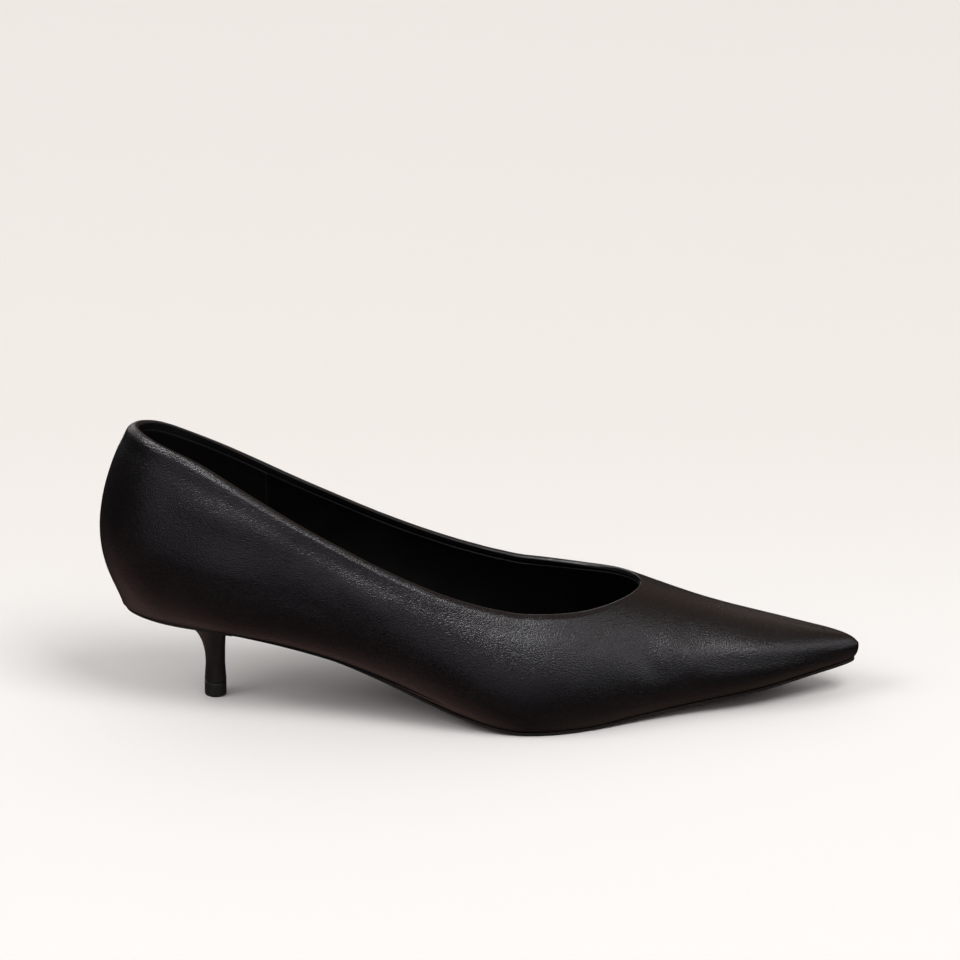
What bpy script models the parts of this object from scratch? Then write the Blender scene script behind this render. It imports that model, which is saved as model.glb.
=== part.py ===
"""Pointed kitten heel pump for the right foot, as five solids: upper, insole, outsole, heel and heel tip.

Metres, +Z up, toe towards +X, outer side of the foot towards -Y. The floor is z = 0, and the origin lies
under the middle of the shoe's box. The upper is one shell on a last. Each of its wall profiles rises from
the feather edge, where wall and bottom meet, over its widest point to the last's crown line, and is cut
off at the topline.
"""

import math
from collections import namedtuple

import bmesh
import bpy
import numpy as np

# Overall sizes of the last
LENGTH = 0.264
BALL_WIDTH = 0.074
HEEL_HEIGHT = 0.0357
BACK_HEIGHT = 0.0685
INSTEP_HEIGHT = 0.0590
TOE_SPRING = 0.0114

# Sheet thicknesses, and the gap that glued pieces keep
WALL = 0.0019
COUNTER_EXTRA = 0.0008
INSOLE_THICKNESS = 0.0022
SOLE_THICKNESS = 0.0023
SHANK_THINNING = 0.0008
GLUE_GAP = 0.0003

# Lasting margin: how far the upper turns under, as a share of the way to the centre line
MARGIN_SHARE = 0.42

# Outsole edge
SOLE_WELT = 0.0007
SHANK_TUCK = 0.0012
SOLE_EDGE_ROUND = 0.0007

# Heel: length of its seat, place of the stem's axis from the back, stem, flare and top piece
HEEL_LENGTH = 0.0462
SEAT_TUCK = 0.0010
SEAT_EDGE = 0.0009
STEM_BACK = 0.0400
STEM_RADIUS = 0.0034
STEM_FOOT_RADIUS = 0.0038
FLARE_HEIGHT = 0.0185
TIP_HEIGHT = 0.0052
TIP_BEVEL = 0.0005

# One row for each section of the last, from the back to the toe tip. Columns:
# along      feather edge, share of LENGTH from the back
# outer      feather edge to the centre line on the outer side, share of BALL_WIDTH
# inner      the same on the inner side
# bulge      reach of the widest point beyond the feather edge, share of BALL_WIDTH
# bulge_up   height of the widest point above the feather edge, share of INSTEP_HEIGHT
# turn       how flat the wall leaves the feather edge: 1 level, 0 upright
# side       fullness of the wall above its widest point, share of the height that is left
# crown_at   crown line, share of LENGTH from the back
# crown_in   crown line's shift to the inner side, share of BALL_WIDTH
# crown      crown line above the feather edge, share of INSTEP_HEIGHT
# top        fullness of the wall beside the crown line, share of the way out
# fall       drop of the wall beside the crown line, share of INSTEP_HEIGHT
Section = namedtuple("Section", "along outer inner bulge bulge_up turn side crown_at crown_in crown top fall")
SECTIONS = [
    Section(0.030, 0.000, 0.000, 0.104, 0.480, 0.30, 0.40, 0.170, 0.000, 1.690, 0.55, 0.000),
    Section(0.060, 0.135, 0.135, 0.130, 0.470, 0.50, 0.33, 0.170, 0.000, 1.690, 0.44, 0.000),
    Section(0.115, 0.172, 0.172, 0.160, 0.460, 0.75, 0.21, 0.176, 0.000, 1.620, 0.32, 0.000),
    Section(0.190, 0.178, 0.176, 0.172, 0.440, 0.90, 0.18, 0.200, 0.002, 1.520, 0.30, 0.000),
    Section(0.290, 0.215, 0.190, 0.172, 0.400, 0.90, 0.26, 0.290, 0.008, 1.300, 0.48, 0.000),
    Section(0.390, 0.310, 0.262, 0.132, 0.340, 0.75, 0.34, 0.390, 0.018, 1.110, 0.58, 0.000),
    Section(0.490, 0.440, 0.380, 0.072, 0.250, 0.60, 0.40, 0.490, 0.026, 0.970, 0.60, 0.000),
    Section(0.590, 0.478, 0.452, 0.042, 0.180, 0.60, 0.42, 0.590, 0.032, 0.850, 0.59, 0.000),
    Section(0.690, 0.362, 0.452, 0.040, 0.150, 0.60, 0.44, 0.690, 0.034, 0.678, 0.56, 0.000),
    Section(0.790, 0.240, 0.348, 0.038, 0.130, 0.60, 0.46, 0.790, 0.036, 0.474, 0.50, 0.000),
    Section(0.880, 0.155, 0.228, 0.036, 0.100, 0.60, 0.50, 0.872, 0.040, 0.328, 0.49, 0.000),
    Section(0.950, 0.045, 0.126, 0.030, 0.080, 0.60, 0.52, 0.925, 0.043, 0.236, 0.52, 0.006),
    Section(0.984, -0.010, 0.078, 0.024, 0.070, 0.60, 0.52, 0.947, 0.044, 0.198, 0.54, 0.018),
    Section(0.994, -0.044, 0.044, 0.022, 0.065, 0.60, 0.52, 0.955, 0.044, 0.186, 0.54, 0.026),
]

# Feather edge seen from the side: shares of LENGTH, HEEL_HEIGHT and TOE_SPRING
Bottom = namedtuple("Bottom", "along heel toe")
BOTTOM = [
    Bottom(0.000, 1.012, 0.0),
    Bottom(0.027, 1.000, 0.0),
    Bottom(0.060, 0.973, 0.0),
    Bottom(0.115, 0.900, 0.0),
    Bottom(0.175, 0.812, 0.0),
    Bottom(0.230, 0.728, 0.0),
    Bottom(0.300, 0.595, 0.0),
    Bottom(0.380, 0.392, 0.0),
    Bottom(0.430, 0.254, 0.0),
    Bottom(0.480, 0.124, 0.0),
    Bottom(0.525, 0.036, 0.0),
    Bottom(0.560, 0.000, 0.0),
    Bottom(0.630, 0.000, 0.0),
    Bottom(0.720, 0.000, 0.150),
    Bottom(0.820, 0.000, 0.400),
    Bottom(0.920, 0.000, 0.715),
    Bottom(1.000, 0.000, 1.000),
]

# Topline seen from the side: share of LENGTH, height above the feather edge as a share of BACK_HEIGHT
Topline = namedtuple("Topline", "along height")
TOPLINE = [
    Topline(0.000, 1.000),
    Topline(0.040, 0.978),
    Topline(0.115, 0.906),
    Topline(0.190, 0.808),
    Topline(0.270, 0.701),
    Topline(0.350, 0.632),
    Topline(0.430, 0.600),
    Topline(0.530, 0.585),
    Topline(0.620, 0.553),
    Topline(0.712, 0.545),
    Topline(0.760, 0.550),
]

# Shape of the curve from feather edge to widest point
LOW_RISE = 0.35
LOW_END = 0.50

# Shape of the heel's underside: where it leaves the seat's line, share of the way from stem to edge
FLARE_REACH = 0.35
FLARE_NECK = 0.0029

# Mesh density
LOW_STEPS = 3
HIGH_STEPS = 8
RIM_STEPS = 3
TOE_COLUMNS = 16
THROAT_COLUMNS = 9
QUARTER_COLUMNS = 26
HEEL_POINTS = 48
SEAT_RINGS = 5
FLARE_RINGS = 9
STEM_RINGS = 2
TIP_SEGMENTS = 32

# Height of the feather edge above the floor where the sole lies flat
BALL_FEATHER = SOLE_THICKNESS + GLUE_GAP

Finish = namedtuple("Finish", "name colour roughness")
LEATHER = Finish("black leather", (0.012, 0.011, 0.012, 1.0), 0.42)
SOCK = Finish("black sock", (0.010, 0.009, 0.010, 1.0), 0.60)
SOLE = Finish("black sole", (0.014, 0.012, 0.011, 1.0), 0.50)
HEEL_COVER = Finish("black heel cover", (0.012, 0.010, 0.010, 1.0), 0.38)
TOP_PIECE = Finish("black top piece", (0.016, 0.016, 0.015, 1.0), 0.55)

UP = np.array([0.0, 0.0, 1.0])


def even_slopes(knots, values, closed=False):
    """Slopes of the smoothest cubic curve through the values: a loop, or one with level ends."""
    gaps = np.diff(knots)
    rises = np.diff(values, axis=0) / gaps[:, None]
    count = len(knots) - 1 if closed else len(knots)
    matrix = np.zeros((count, count))
    right = np.zeros((count, values.shape[1]))
    for i in range(count):
        if not closed and i in (0, count - 1):
            matrix[i, i] = 1.0
            continue
        before, after = gaps[i - 1], gaps[i]
        matrix[i, (i - 1) % count] += 1 / before
        matrix[i, i] += 2 / before + 2 / after
        matrix[i, (i + 1) % count] += 1 / after
        right[i] = 3 * (rises[i - 1] / before + rises[i] / after)
    slopes = np.linalg.solve(matrix, right)
    return np.vstack([slopes, slopes[:1]]) if closed else slopes


def steady_slopes(knots, values):
    """Slopes that keep level stretches level and add no bump between the knots."""
    gaps = np.diff(knots)
    rises = np.diff(values) / gaps
    slopes = np.concatenate([rises[:1], np.zeros(len(knots) - 2), rises[-1:]])
    for i in range(1, len(knots) - 1):
        if rises[i - 1] * rises[i] > 0:
            first = 2 * gaps[i] + gaps[i - 1]
            second = gaps[i] + 2 * gaps[i - 1]
            slopes[i] = (first + second) / (first / rises[i - 1] + second / rises[i])
    return slopes


def curve_at(knots, values, slopes, at):
    """Cubic curve through the values with those slopes."""
    at = np.asarray(at, float)
    i = np.clip(np.searchsorted(knots, at, side="right") - 1, 0, len(knots) - 2)
    gap = knots[i + 1] - knots[i]
    s = (at - knots[i]) / gap
    if values.ndim > 1:
        gap, s = gap[..., None], s[..., None]
    return (
        values[i] * (1 + 2 * s) * (1 - s) ** 2
        + slopes[i] * gap * s * (1 - s) ** 2
        + values[i + 1] * s * s * (3 - 2 * s)
        + slopes[i + 1] * gap * s * s * (s - 1)
    )


def feather_height(x):
    """Height of the feather edge, x metres from the back of the shoe."""
    knots = np.array([row.along * LENGTH for row in BOTTOM])
    heights = np.array(
        [BALL_FEATHER + row.heel * (HEEL_HEIGHT - BALL_FEATHER) + row.toe * TOE_SPRING for row in BOTTOM]
    )
    return curve_at(knots, heights, steady_slopes(knots, heights), np.clip(x, 0, LENGTH))


def topline_height(x):
    """Height at which the upper is cut off, seen from the side."""
    knots = np.array([row.along * LENGTH for row in TOPLINE])
    shares = np.array([[row.height] for row in TOPLINE])
    share = curve_at(knots, shares, even_slopes(knots, shares), np.clip(x, 0, knots[-1]))[..., 0]
    return feather_height(x) + share * BACK_HEIGHT


def section_knots():
    """Place of each section along half the feather edge, 0 at the back and 1 at the toe tip."""
    plan = np.array([(r.along * LENGTH, (r.outer + r.inner) / 2 * BALL_WIDTH) for r in SECTIONS])
    knots = np.concatenate([[0], np.cumsum(np.linalg.norm(np.diff(plan, axis=0), axis=1))])
    return knots / knots[-1]


Profile = namedtuple("Profile", "feather widest crown out turn side top fall")


def profile_at(t, side):
    """Wall profiles at places t from the back, 0, to the toe tip, 1; side is -1 outer, +1 inner."""
    half = section_knots()
    table = np.array(SECTIONS)
    loop = np.concatenate([-half[:0:-1], half])
    edge = np.concatenate([table[:0:-1, 2], -table[:, 1]])[:, None]
    y = curve_at(loop, edge, even_slopes(loop, edge, closed=True), -side * np.asarray(t))[..., 0]
    row = curve_at(half, table, even_slopes(half, table), t)
    x = row[..., 0] * LENGTH
    feather = np.stack([x, y * BALL_WIDTH, feather_height(x)], -1)
    crown_x = row[..., 7] * LENGTH
    crown_z = feather_height(crown_x) + row[..., 9] * INSTEP_HEIGHT
    crown = np.stack([crown_x, row[..., 8] * BALL_WIDTH, crown_z], -1)
    out = (feather - crown) * (1 - UP)
    out /= np.linalg.norm(out, axis=-1, keepdims=True)
    widest = feather + out * row[..., 3:4] * BALL_WIDTH + UP * row[..., 4:5] * INSTEP_HEIGHT
    return Profile(feather, widest, crown, out, row[..., 5:6], row[..., 6:7], row[..., 10:11], row[..., 11:12])


def bezier(first, second, third, last, g):
    g = np.asarray(g)[..., None]
    return first * (1 - g) ** 3 + second * 3 * g * (1 - g) ** 2 + third * 3 * g * g * (1 - g) + last * g**3


def low_wall(profile, g):
    """Wall from the feather edge, g = 0, to the widest point, g = 1."""
    across = profile.widest - profile.feather
    rise = across * UP
    start = profile.feather + (across - rise) * profile.turn + rise * (1 - profile.turn) * LOW_RISE
    return bezier(profile.feather, start, profile.widest - rise * LOW_END, profile.widest, g)


def high_wall(profile, g):
    """Wall from the widest point, g = 0, to the crown line, g = 1."""
    across = profile.crown - profile.widest
    rise = across * UP
    end = profile.crown - (across - rise) * profile.top - UP * profile.fall * INSTEP_HEIGHT
    return bezier(profile.widest, profile.widest + rise * profile.side, end, profile.crown, g)


def throat_place():
    """Place along the edge where the topline meets the crown line."""
    t = np.linspace(0.3, 0.98, 1361)
    crown = profile_at(t, 1).crown
    above = crown[:, 2] - topline_height(crown[:, 0])
    last = np.where(above > 0)[0][-1]
    share = above[last] / (above[last] - above[last + 1])
    return t[last] + share * (t[last + 1] - t[last])


def column_places():
    """Places of the wall profiles along half the edge, and the index of the one at the throat."""
    throat = throat_place()
    toe = 1 - (1 - throat) * (1 - np.arange(1, TOE_COLUMNS + 1) / TOE_COLUMNS) ** 1.5
    near = throat - 0.17 * (np.arange(THROAT_COLUMNS, 0, -1) / THROAT_COLUMNS) ** 2
    quarter = near[0] * (np.arange(QUARTER_COLUMNS) / QUARTER_COLUMNS) ** 1.3
    return np.concatenate([quarter, near, [throat], toe]), QUARTER_COLUMNS + THROAT_COLUMNS


def cut_share(profile):
    """Share of each high wall that lies below the topline."""
    low = np.zeros(len(profile.feather))
    high = np.ones_like(low)
    for _ in range(40):
        middle = (low + high) / 2
        place = high_wall(profile, middle)
        over = place[:, 2] > topline_height(place[:, 0])
        high = np.where(over, middle, high)
        low = np.where(over, low, middle)
    return (low + high) / 2


def wall_face(t, side, throat):
    """Outer face of the shell, columns by points: margin's free edge, feather edge, wall, top."""
    profile = profile_at(t, side)
    share = cut_share(profile)
    share[throat:] = 1.0
    low = [low_wall(profile, np.full(len(t), g)) for g in np.linspace(0, 1, LOW_STEPS + 1)]
    high = [high_wall(profile, share * g) for g in np.arange(1, HIGH_STEPS + 1) / HIGH_STEPS]
    margin = profile.feather + (profile.crown - profile.feather) * (1 - UP) * MARGIN_SHARE
    margin[:, 2] = feather_height(margin[:, 0])
    return np.stack([margin] + low + high, 1), profile


def moved_in(face, profile, thickness, throat):
    """The face moved inwards by a thickness for each column, in each profile's plane, corners mitred."""
    flat = np.stack([np.sum((face - profile.feather[:, None]) * profile.out[:, None], -1), face[..., 2]], -1)
    steps = np.diff(flat, axis=1)
    steps /= np.linalg.norm(steps, axis=-1, keepdims=True)
    normals = np.stack([-steps[..., 1], steps[..., 0]], -1)
    before = np.concatenate([normals[:, :1], normals], 1)
    mitre = before + np.concatenate([normals, normals[:, -1:]], 1)
    mitre /= np.linalg.norm(mitre, axis=-1, keepdims=True)
    mitre /= np.maximum(np.sum(mitre * before, -1, keepdims=True), 0.5)
    mitre[throat:, -1] = (0.0, -1.0)
    move = mitre * thickness[:, None, None]
    return face + profile.out[:, None] * move[..., :1] + UP * move[..., 1:]


def wall_thickness(profile):
    """Wall thickness of each column: the heel counter makes the back a little thicker."""
    return WALL + COUNTER_EXTRA * np.clip(1 - profile.feather[:, 0] / (0.3 * LENGTH), 0, 1)


def joined(outer_side, inner_side, shared_back):
    """One loop of columns round the shoe: outer side to the toe tip, then inner side back to the heel."""
    return np.concatenate([outer_side, inner_side[-2 : 0 if shared_back else None : -1]])


def rounded_rim(outer, inner):
    """Folded edge between the faces' top points, which run as one loop round the opening."""
    middle, across = (outer + inner) / 2, (outer - inner) / 2
    tangent = np.roll(middle, -1, 0) - np.roll(middle, 1, 0)
    upward = np.cross(tangent, across)
    upward *= np.linalg.norm(across, axis=1, keepdims=True) / np.linalg.norm(upward, axis=1, keepdims=True)
    angles = np.arange(1, RIM_STEPS) * math.pi / RIM_STEPS
    return np.stack([middle + across * math.cos(a) + upward * math.sin(a) for a in angles], 1)


def make_material(finish):
    material = bpy.data.materials.new(finish.name)
    material.use_nodes = True
    shader = material.node_tree.nodes["Principled BSDF"]
    shader.inputs["Base Color"].default_value = finish.colour
    shader.inputs["Roughness"].default_value = finish.roughness
    shader.inputs["Metallic"].default_value = 0.0
    return material


def new_object(name, vertices, faces, finish, sharp_degrees=40.0):
    """Object of one closed mesh: equal points merged, unused ones dropped, faces pointing out."""
    mesh = bpy.data.meshes.new(name)
    mesh.from_pydata([tuple(v) for v in vertices], [], faces)
    work = bmesh.new()
    work.from_mesh(mesh)
    bmesh.ops.remove_doubles(work, verts=work.verts, dist=1e-6)
    bmesh.ops.delete(work, geom=[v for v in work.verts if not v.link_faces], context="VERTS")
    bmesh.ops.recalc_face_normals(work, faces=work.faces)
    work.to_mesh(mesh)
    work.free()
    mesh.shade_smooth()
    mesh.set_sharp_from_angle(angle=math.radians(sharp_degrees))
    obj = bpy.data.objects.new(name, mesh)
    bpy.context.scene.collection.objects.link(obj)
    obj.data.materials.append(make_material(finish))
    return obj


def make_upper(columns, throat):
    """The shell: its two sides are joined along the crown line ahead of the throat."""
    faces_of_side = []
    for side in (-1, 1):
        outer, profile = wall_face(columns, side, throat)
        faces_of_side.append((outer, moved_in(outer, profile, wall_thickness(profile), throat)))
    outer = joined(faces_of_side[0][0], faces_of_side[1][0], shared_back=True)
    inner = joined(faces_of_side[0][1], faces_of_side[1][1], shared_back=True)
    count = len(outer)
    opening = np.concatenate([np.arange(throat, 0, -1), np.arange(0, -throat, -1) % count])
    rim = np.repeat(outer[:, -1:], RIM_STEPS - 1, 1)
    rim[opening] = rounded_rim(outer[opening, -1], inner[opening, -1])
    rings = np.concatenate([outer, rim, inner[:, ::-1]], 1)
    size = rings.shape[1]
    rim_start = outer.shape[1] - 1
    behind = (np.minimum(np.arange(count), count - np.arange(count)) <= throat)
    faces = []
    for c in range(count):
        d = (c + 1) % count
        for p in range(size):
            if rim_start <= p < rim_start + RIM_STEPS and not (behind[c] and behind[d]):
                continue
            q = (p + 1) % size
            faces.append((c * size + p, d * size + p, d * size + q, c * size + q))
    vertices = rings.reshape(-1, 3)
    for p in range(rim_start + 1, rim_start + RIM_STEPS):
        vertices[(count - throat) * size + p] = vertices[throat * size + p]
    return new_object("upper", vertices, faces, LEATHER)


def make_slab(name, loops, shared_back, finish):
    """Sheet between two loops round the shoe, or more, with strips across its top and its bottom."""
    count = len(loops[0])
    faces = []
    for level in range(len(loops) - 1):
        for i in range(count):
            j = (i + 1) % count
            faces.append((level * count + i, level * count + j, (level + 1) * count + j, (level + 1) * count + i))
    last = count if shared_back else count - 1
    for start in (0, (len(loops) - 1) * count):
        for i in range(count // 2):
            far, far_next = (last - i) % count, (last - i - 1) % count
            corners = dict.fromkeys([start + i, start + i + 1, start + far_next, start + far])
            if len(corners) > 2:
                faces.append(tuple(corners))
    return new_object(name, np.concatenate(loops), faces, finish)


def make_insole(columns, throat):
    """Insole board with its sock, on the lasting margin and just clear of the wall."""
    bottoms, tops = [], []
    for side in (-1, 1):
        outer, profile = wall_face(columns, side, throat)
        near = moved_in(outer, profile, wall_thickness(profile) + GLUE_GAP, throat)
        bottom = near[:, 1]
        top = bottom.copy()
        for c, column in enumerate(near):
            rising = column[1:6]
            height = bottom[c, 2] + INSOLE_THICKNESS
            top[c] = [np.interp(height, rising[:, 2], rising[:, k]) for k in range(3)]
        bottoms.append(bottom)
        tops.append(top)
    loops = [joined(tops[0], tops[1], True), joined(bottoms[0], bottoms[1], True)]
    return make_slab("insole", loops, True, SOCK)


def place_at(x):
    """Place along the edge where the feather edge is x metres from the back."""
    t = np.linspace(0, 1, 2001)
    return float(np.interp(x, profile_at(t, 1).feather[:, 0], t))


def eased(value, start, end):
    """0 before start, 1 after end, smooth between them."""
    s = np.clip((value - start) / (end - start), 0, 1)
    return s * s * (3 - 2 * s)


def make_outsole(columns):
    """Thin sole from the heel's breast to the toe, tucked in under the waist."""
    breast = place_at(HEEL_LENGTH + GLUE_GAP)
    places = np.concatenate([[breast], columns[columns > breast + 0.004]])
    loops = []
    for level in range(3):
        sides = []
        for side in (-1, 1):
            profile = profile_at(places, side)
            ball = eased(profile.feather[:, 0], 0.25 * LENGTH, 0.45 * LENGTH)
            reach = SOLE_WELT * ball - SHANK_TUCK * (1 - ball)
            thickness = SOLE_THICKNESS - SHANK_THINNING * (1 - ball)
            drop = (0 * thickness, thickness - SOLE_EDGE_ROUND, thickness)[level]
            if level == 2:
                reach = reach - SOLE_EDGE_ROUND
            edge = profile.feather + profile.out * reach[:, None]
            edge[0, 0] = HEEL_LENGTH + GLUE_GAP
            edge[:, 2] = feather_height(edge[:, 0]) - GLUE_GAP - drop
            sides.append(edge)
        loops.append(joined(sides[0], sides[1], shared_back=False))
    return make_slab("outsole", loops, False, SOLE)


def seat_radius(angles):
    """Distance from the stem's axis to the edge of the heel's seat, in each direction."""
    t = np.linspace(0, place_at(HEEL_LENGTH), 240)
    edges = []
    for side in (-1, 1):
        profile = profile_at(t, side)
        edges.append((profile.feather - profile.out * SEAT_TUCK)[:, :2])
        edges[-1][:, 0] = np.minimum(edges[-1][:, 0], HEEL_LENGTH)
    across = np.linspace(edges[0][-1], edges[1][-1], 60)[1:-1]
    loop = np.concatenate([edges[0], across, edges[1][:0:-1]]) - (STEM_BACK, 0.0)
    around = np.unwrap(np.arctan2(loop[:, 1], loop[:, 0]))
    order = np.argsort(around % (2 * math.pi))
    return np.interp(angles % (2 * math.pi), (around % (2 * math.pi))[order],
                     np.linalg.norm(loop, axis=1)[order], period=2 * math.pi)


def make_heel():
    """Heel in one piece: thin seat under the upper, flaring into a slim round stem."""
    turn = np.arange(HEEL_POINTS) / HEEL_POINTS * 2 * math.pi
    angles = math.pi + turn - 0.45 * np.sin(turn)
    ways = np.stack([np.cos(angles), np.sin(angles), 0 * angles], 1)
    axis = np.array([STEM_BACK, 0.0, 0.0])
    edge = seat_radius(angles)

    def ring(radius, drop):
        points = axis + ways * np.asarray(radius)[..., None]
        points[:, 2] = feather_height(points[:, 0]) - GLUE_GAP - drop
        return points

    rings = [ring(edge * s, 0.0) for s in np.arange(1, SEAT_RINGS + 1) / SEAT_RINGS]
    rings.append(ring(edge, SEAT_EDGE))
    neck = feather_height(STEM_BACK) - GLUE_GAP - FLARE_NECK
    start = rings[-1]
    second = ring(STEM_RADIUS + (edge - STEM_RADIUS) * FLARE_REACH, SEAT_EDGE)
    stem = axis + ways * STEM_RADIUS
    third, last = stem + UP * neck, stem + UP * (neck - FLARE_HEIGHT + FLARE_NECK)
    for g in np.arange(1, FLARE_RINGS + 1) / FLARE_RINGS:
        rings.append(bezier(start, second, third, last, np.full(HEEL_POINTS, g)))
    for s in np.arange(1, STEM_RINGS + 1) / STEM_RINGS:
        radius = STEM_RADIUS + (STEM_FOOT_RADIUS - STEM_RADIUS) * s
        height = last[0, 2] + (TIP_HEIGHT + GLUE_GAP - last[0, 2]) * s
        rings.append(axis + ways * radius + UP * height)
    faces = []
    for level in range(len(rings) - 1):
        for i in range(HEEL_POINTS):
            j = (i + 1) % HEEL_POINTS
            first, second_row = level * HEEL_POINTS, (level + 1) * HEEL_POINTS
            faces.append((first + i, first + j, second_row + j, second_row + i))
    centre = len(rings) * HEEL_POINTS
    faces += [(centre, i, (i + 1) % HEEL_POINTS) for i in range(HEEL_POINTS)]
    faces.append(tuple(range(centre - HEEL_POINTS, centre)))
    top = axis + UP * (feather_height(STEM_BACK) - GLUE_GAP)
    return new_object("heel", np.concatenate(rings + [top[None]]), faces, HEEL_COVER)


def make_heel_tip():
    """Top piece: a low round block with its edges bevelled, its lower face on the floor."""
    work = bmesh.new()
    bmesh.ops.create_cone(
        work, cap_ends=True, segments=TIP_SEGMENTS,
        radius1=STEM_FOOT_RADIUS, radius2=STEM_FOOT_RADIUS, depth=TIP_HEIGHT,
    )
    mesh = bpy.data.meshes.new("heel_tip")
    work.to_mesh(mesh)
    work.free()
    mesh.shade_smooth()
    mesh.set_sharp_from_angle(angle=math.radians(30))
    obj = bpy.data.objects.new("heel_tip", mesh)
    bpy.context.scene.collection.objects.link(obj)
    obj.location = (STEM_BACK, 0.0, TIP_HEIGHT / 2)
    bevel = obj.modifiers.new("edge", "BEVEL")
    bevel.width = TIP_BEVEL
    bevel.segments = 2
    mesh.materials.append(make_material(TOP_PIECE))
    return obj


def main():
    for obj in list(bpy.data.objects):
        bpy.data.objects.remove(obj)
    columns, throat = column_places()
    upper = make_upper(columns, throat)
    pieces = [upper, make_insole(columns, throat), make_outsole(columns), make_heel(), make_heel_tip()]
    points = np.array([vertex.co[:] for vertex in upper.data.vertices])
    middle = (points.min(0) + points.max(0)) / 2
    for piece in pieces:
        piece.location.x -= middle[0]
        piece.location.y -= middle[1]


main()
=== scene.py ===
"""Pointed kitten heel pump for the right foot: leather, lining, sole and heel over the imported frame.

Metres, +Z up, toe towards +X, outer side of the foot towards -Y. The last has the same named values as the
part's own source, so that every sheet lies where the solids are.
"""

from __future__ import annotations

import logging
import math
from contextlib import contextmanager
from dataclasses import dataclass, field
from enum import IntEnum
from typing import Any, Iterator, NamedTuple, Sequence

import bpy
import numpy as np
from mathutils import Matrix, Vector


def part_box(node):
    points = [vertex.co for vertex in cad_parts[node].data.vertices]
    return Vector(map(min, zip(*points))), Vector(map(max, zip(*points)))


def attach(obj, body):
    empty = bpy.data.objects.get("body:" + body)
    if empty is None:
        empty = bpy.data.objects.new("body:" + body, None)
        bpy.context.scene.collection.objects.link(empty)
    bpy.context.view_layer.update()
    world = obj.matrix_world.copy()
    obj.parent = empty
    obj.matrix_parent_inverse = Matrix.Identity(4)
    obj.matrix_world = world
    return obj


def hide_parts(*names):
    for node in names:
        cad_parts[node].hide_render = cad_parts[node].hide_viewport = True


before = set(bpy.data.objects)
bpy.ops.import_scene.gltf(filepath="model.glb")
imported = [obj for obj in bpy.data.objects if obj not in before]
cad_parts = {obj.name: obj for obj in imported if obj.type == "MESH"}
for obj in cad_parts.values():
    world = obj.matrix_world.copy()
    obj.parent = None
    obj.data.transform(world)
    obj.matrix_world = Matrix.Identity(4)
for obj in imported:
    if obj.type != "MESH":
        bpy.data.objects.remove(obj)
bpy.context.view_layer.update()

LOG = logging.getLogger("pump")
BODY = "root"
UP = np.array([0.0, 0.0, 1.0])
# (x, z) along the ridge that runs to the toe tip
TOE_RIDGE = ((0.0700, 0.0246), (0.0907, 0.0232), (0.1039, 0.0219), (0.1290, 0.0195))


class Side(IntEnum):
    """A side of the foot, as the sign of its Y."""

    OUTER = -1
    INNER = 1


def cubic_slopes(knots: np.ndarray, values: np.ndarray, closed: bool = False) -> np.ndarray:
    """Slopes of the smoothest cubic curve through the values.

    Args:
        knots: Places of the values along the curve.
        values: One row of values for each knot.
        closed: Whether the curve is a loop; otherwise its ends are level.

    Returns:
        One row of slopes for each knot.
    """
    gaps = np.diff(knots)
    rises = np.diff(values, axis=0) / gaps[:, None]
    count = len(knots) - 1 if closed else len(knots)
    matrix = np.zeros((count, count))
    right = np.zeros((count, values.shape[1]))
    for i in range(count):
        if not closed and i in (0, count - 1):
            matrix[i, i] = 1.0
            continue
        before, after = gaps[i - 1], gaps[i]
        matrix[i, (i - 1) % count] += 1 / before
        matrix[i, i] += 2 / before + 2 / after
        matrix[i, (i + 1) % count] += 1 / after
        right[i] = 3 * (rises[i - 1] / before + rises[i] / after)
    slopes = np.linalg.solve(matrix, right)
    return np.vstack([slopes, slopes[:1]]) if closed else slopes


def steady_slopes(knots: np.ndarray, values: np.ndarray) -> np.ndarray:
    """Slopes that keep level stretches level and add no bump between the knots.

    Args:
        knots: Places of the values along the curve.
        values: One value for each knot.

    Returns:
        One slope for each knot.
    """
    gaps = np.diff(knots)
    rises = np.diff(values) / gaps
    slopes = np.concatenate([rises[:1], np.zeros(len(knots) - 2), rises[-1:]])
    for i in range(1, len(knots) - 1):
        if rises[i - 1] * rises[i] > 0:
            first = 2 * gaps[i] + gaps[i - 1]
            second = gaps[i] + 2 * gaps[i - 1]
            slopes[i] = (first + second) / (first / rises[i - 1] + second / rises[i])
    return slopes


def curve_at(knots: np.ndarray, values: np.ndarray, slopes: np.ndarray, at: np.ndarray) -> np.ndarray:
    """Cubic curve through the values with those slopes.

    Args:
        knots: Places of the values along the curve.
        values: One value, or one row of values, for each knot.
        slopes: The slope of each value.
        at: Places to read the curve at.

    Returns:
        The curve's values there.
    """
    at = np.asarray(at, float)
    i = np.clip(np.searchsorted(knots, at, side="right") - 1, 0, len(knots) - 2)
    gap = knots[i + 1] - knots[i]
    s = (at - knots[i]) / gap
    if values.ndim > 1:
        gap, s = gap[..., None], s[..., None]
    return (
        values[i] * (1 + 2 * s) * (1 - s) ** 2
        + slopes[i] * gap * s * (1 - s) ** 2
        + values[i + 1] * s * s * (3 - 2 * s)
        + slopes[i + 1] * gap * s * s * (s - 1)
    )


def eased(value: np.ndarray, start: float, end: float) -> np.ndarray:
    """0 before start, 1 after end, smooth between them."""
    s = np.clip((np.asarray(value) - start) / (end - start), 0, 1)
    return s * s * (3 - 2 * s)


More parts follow.
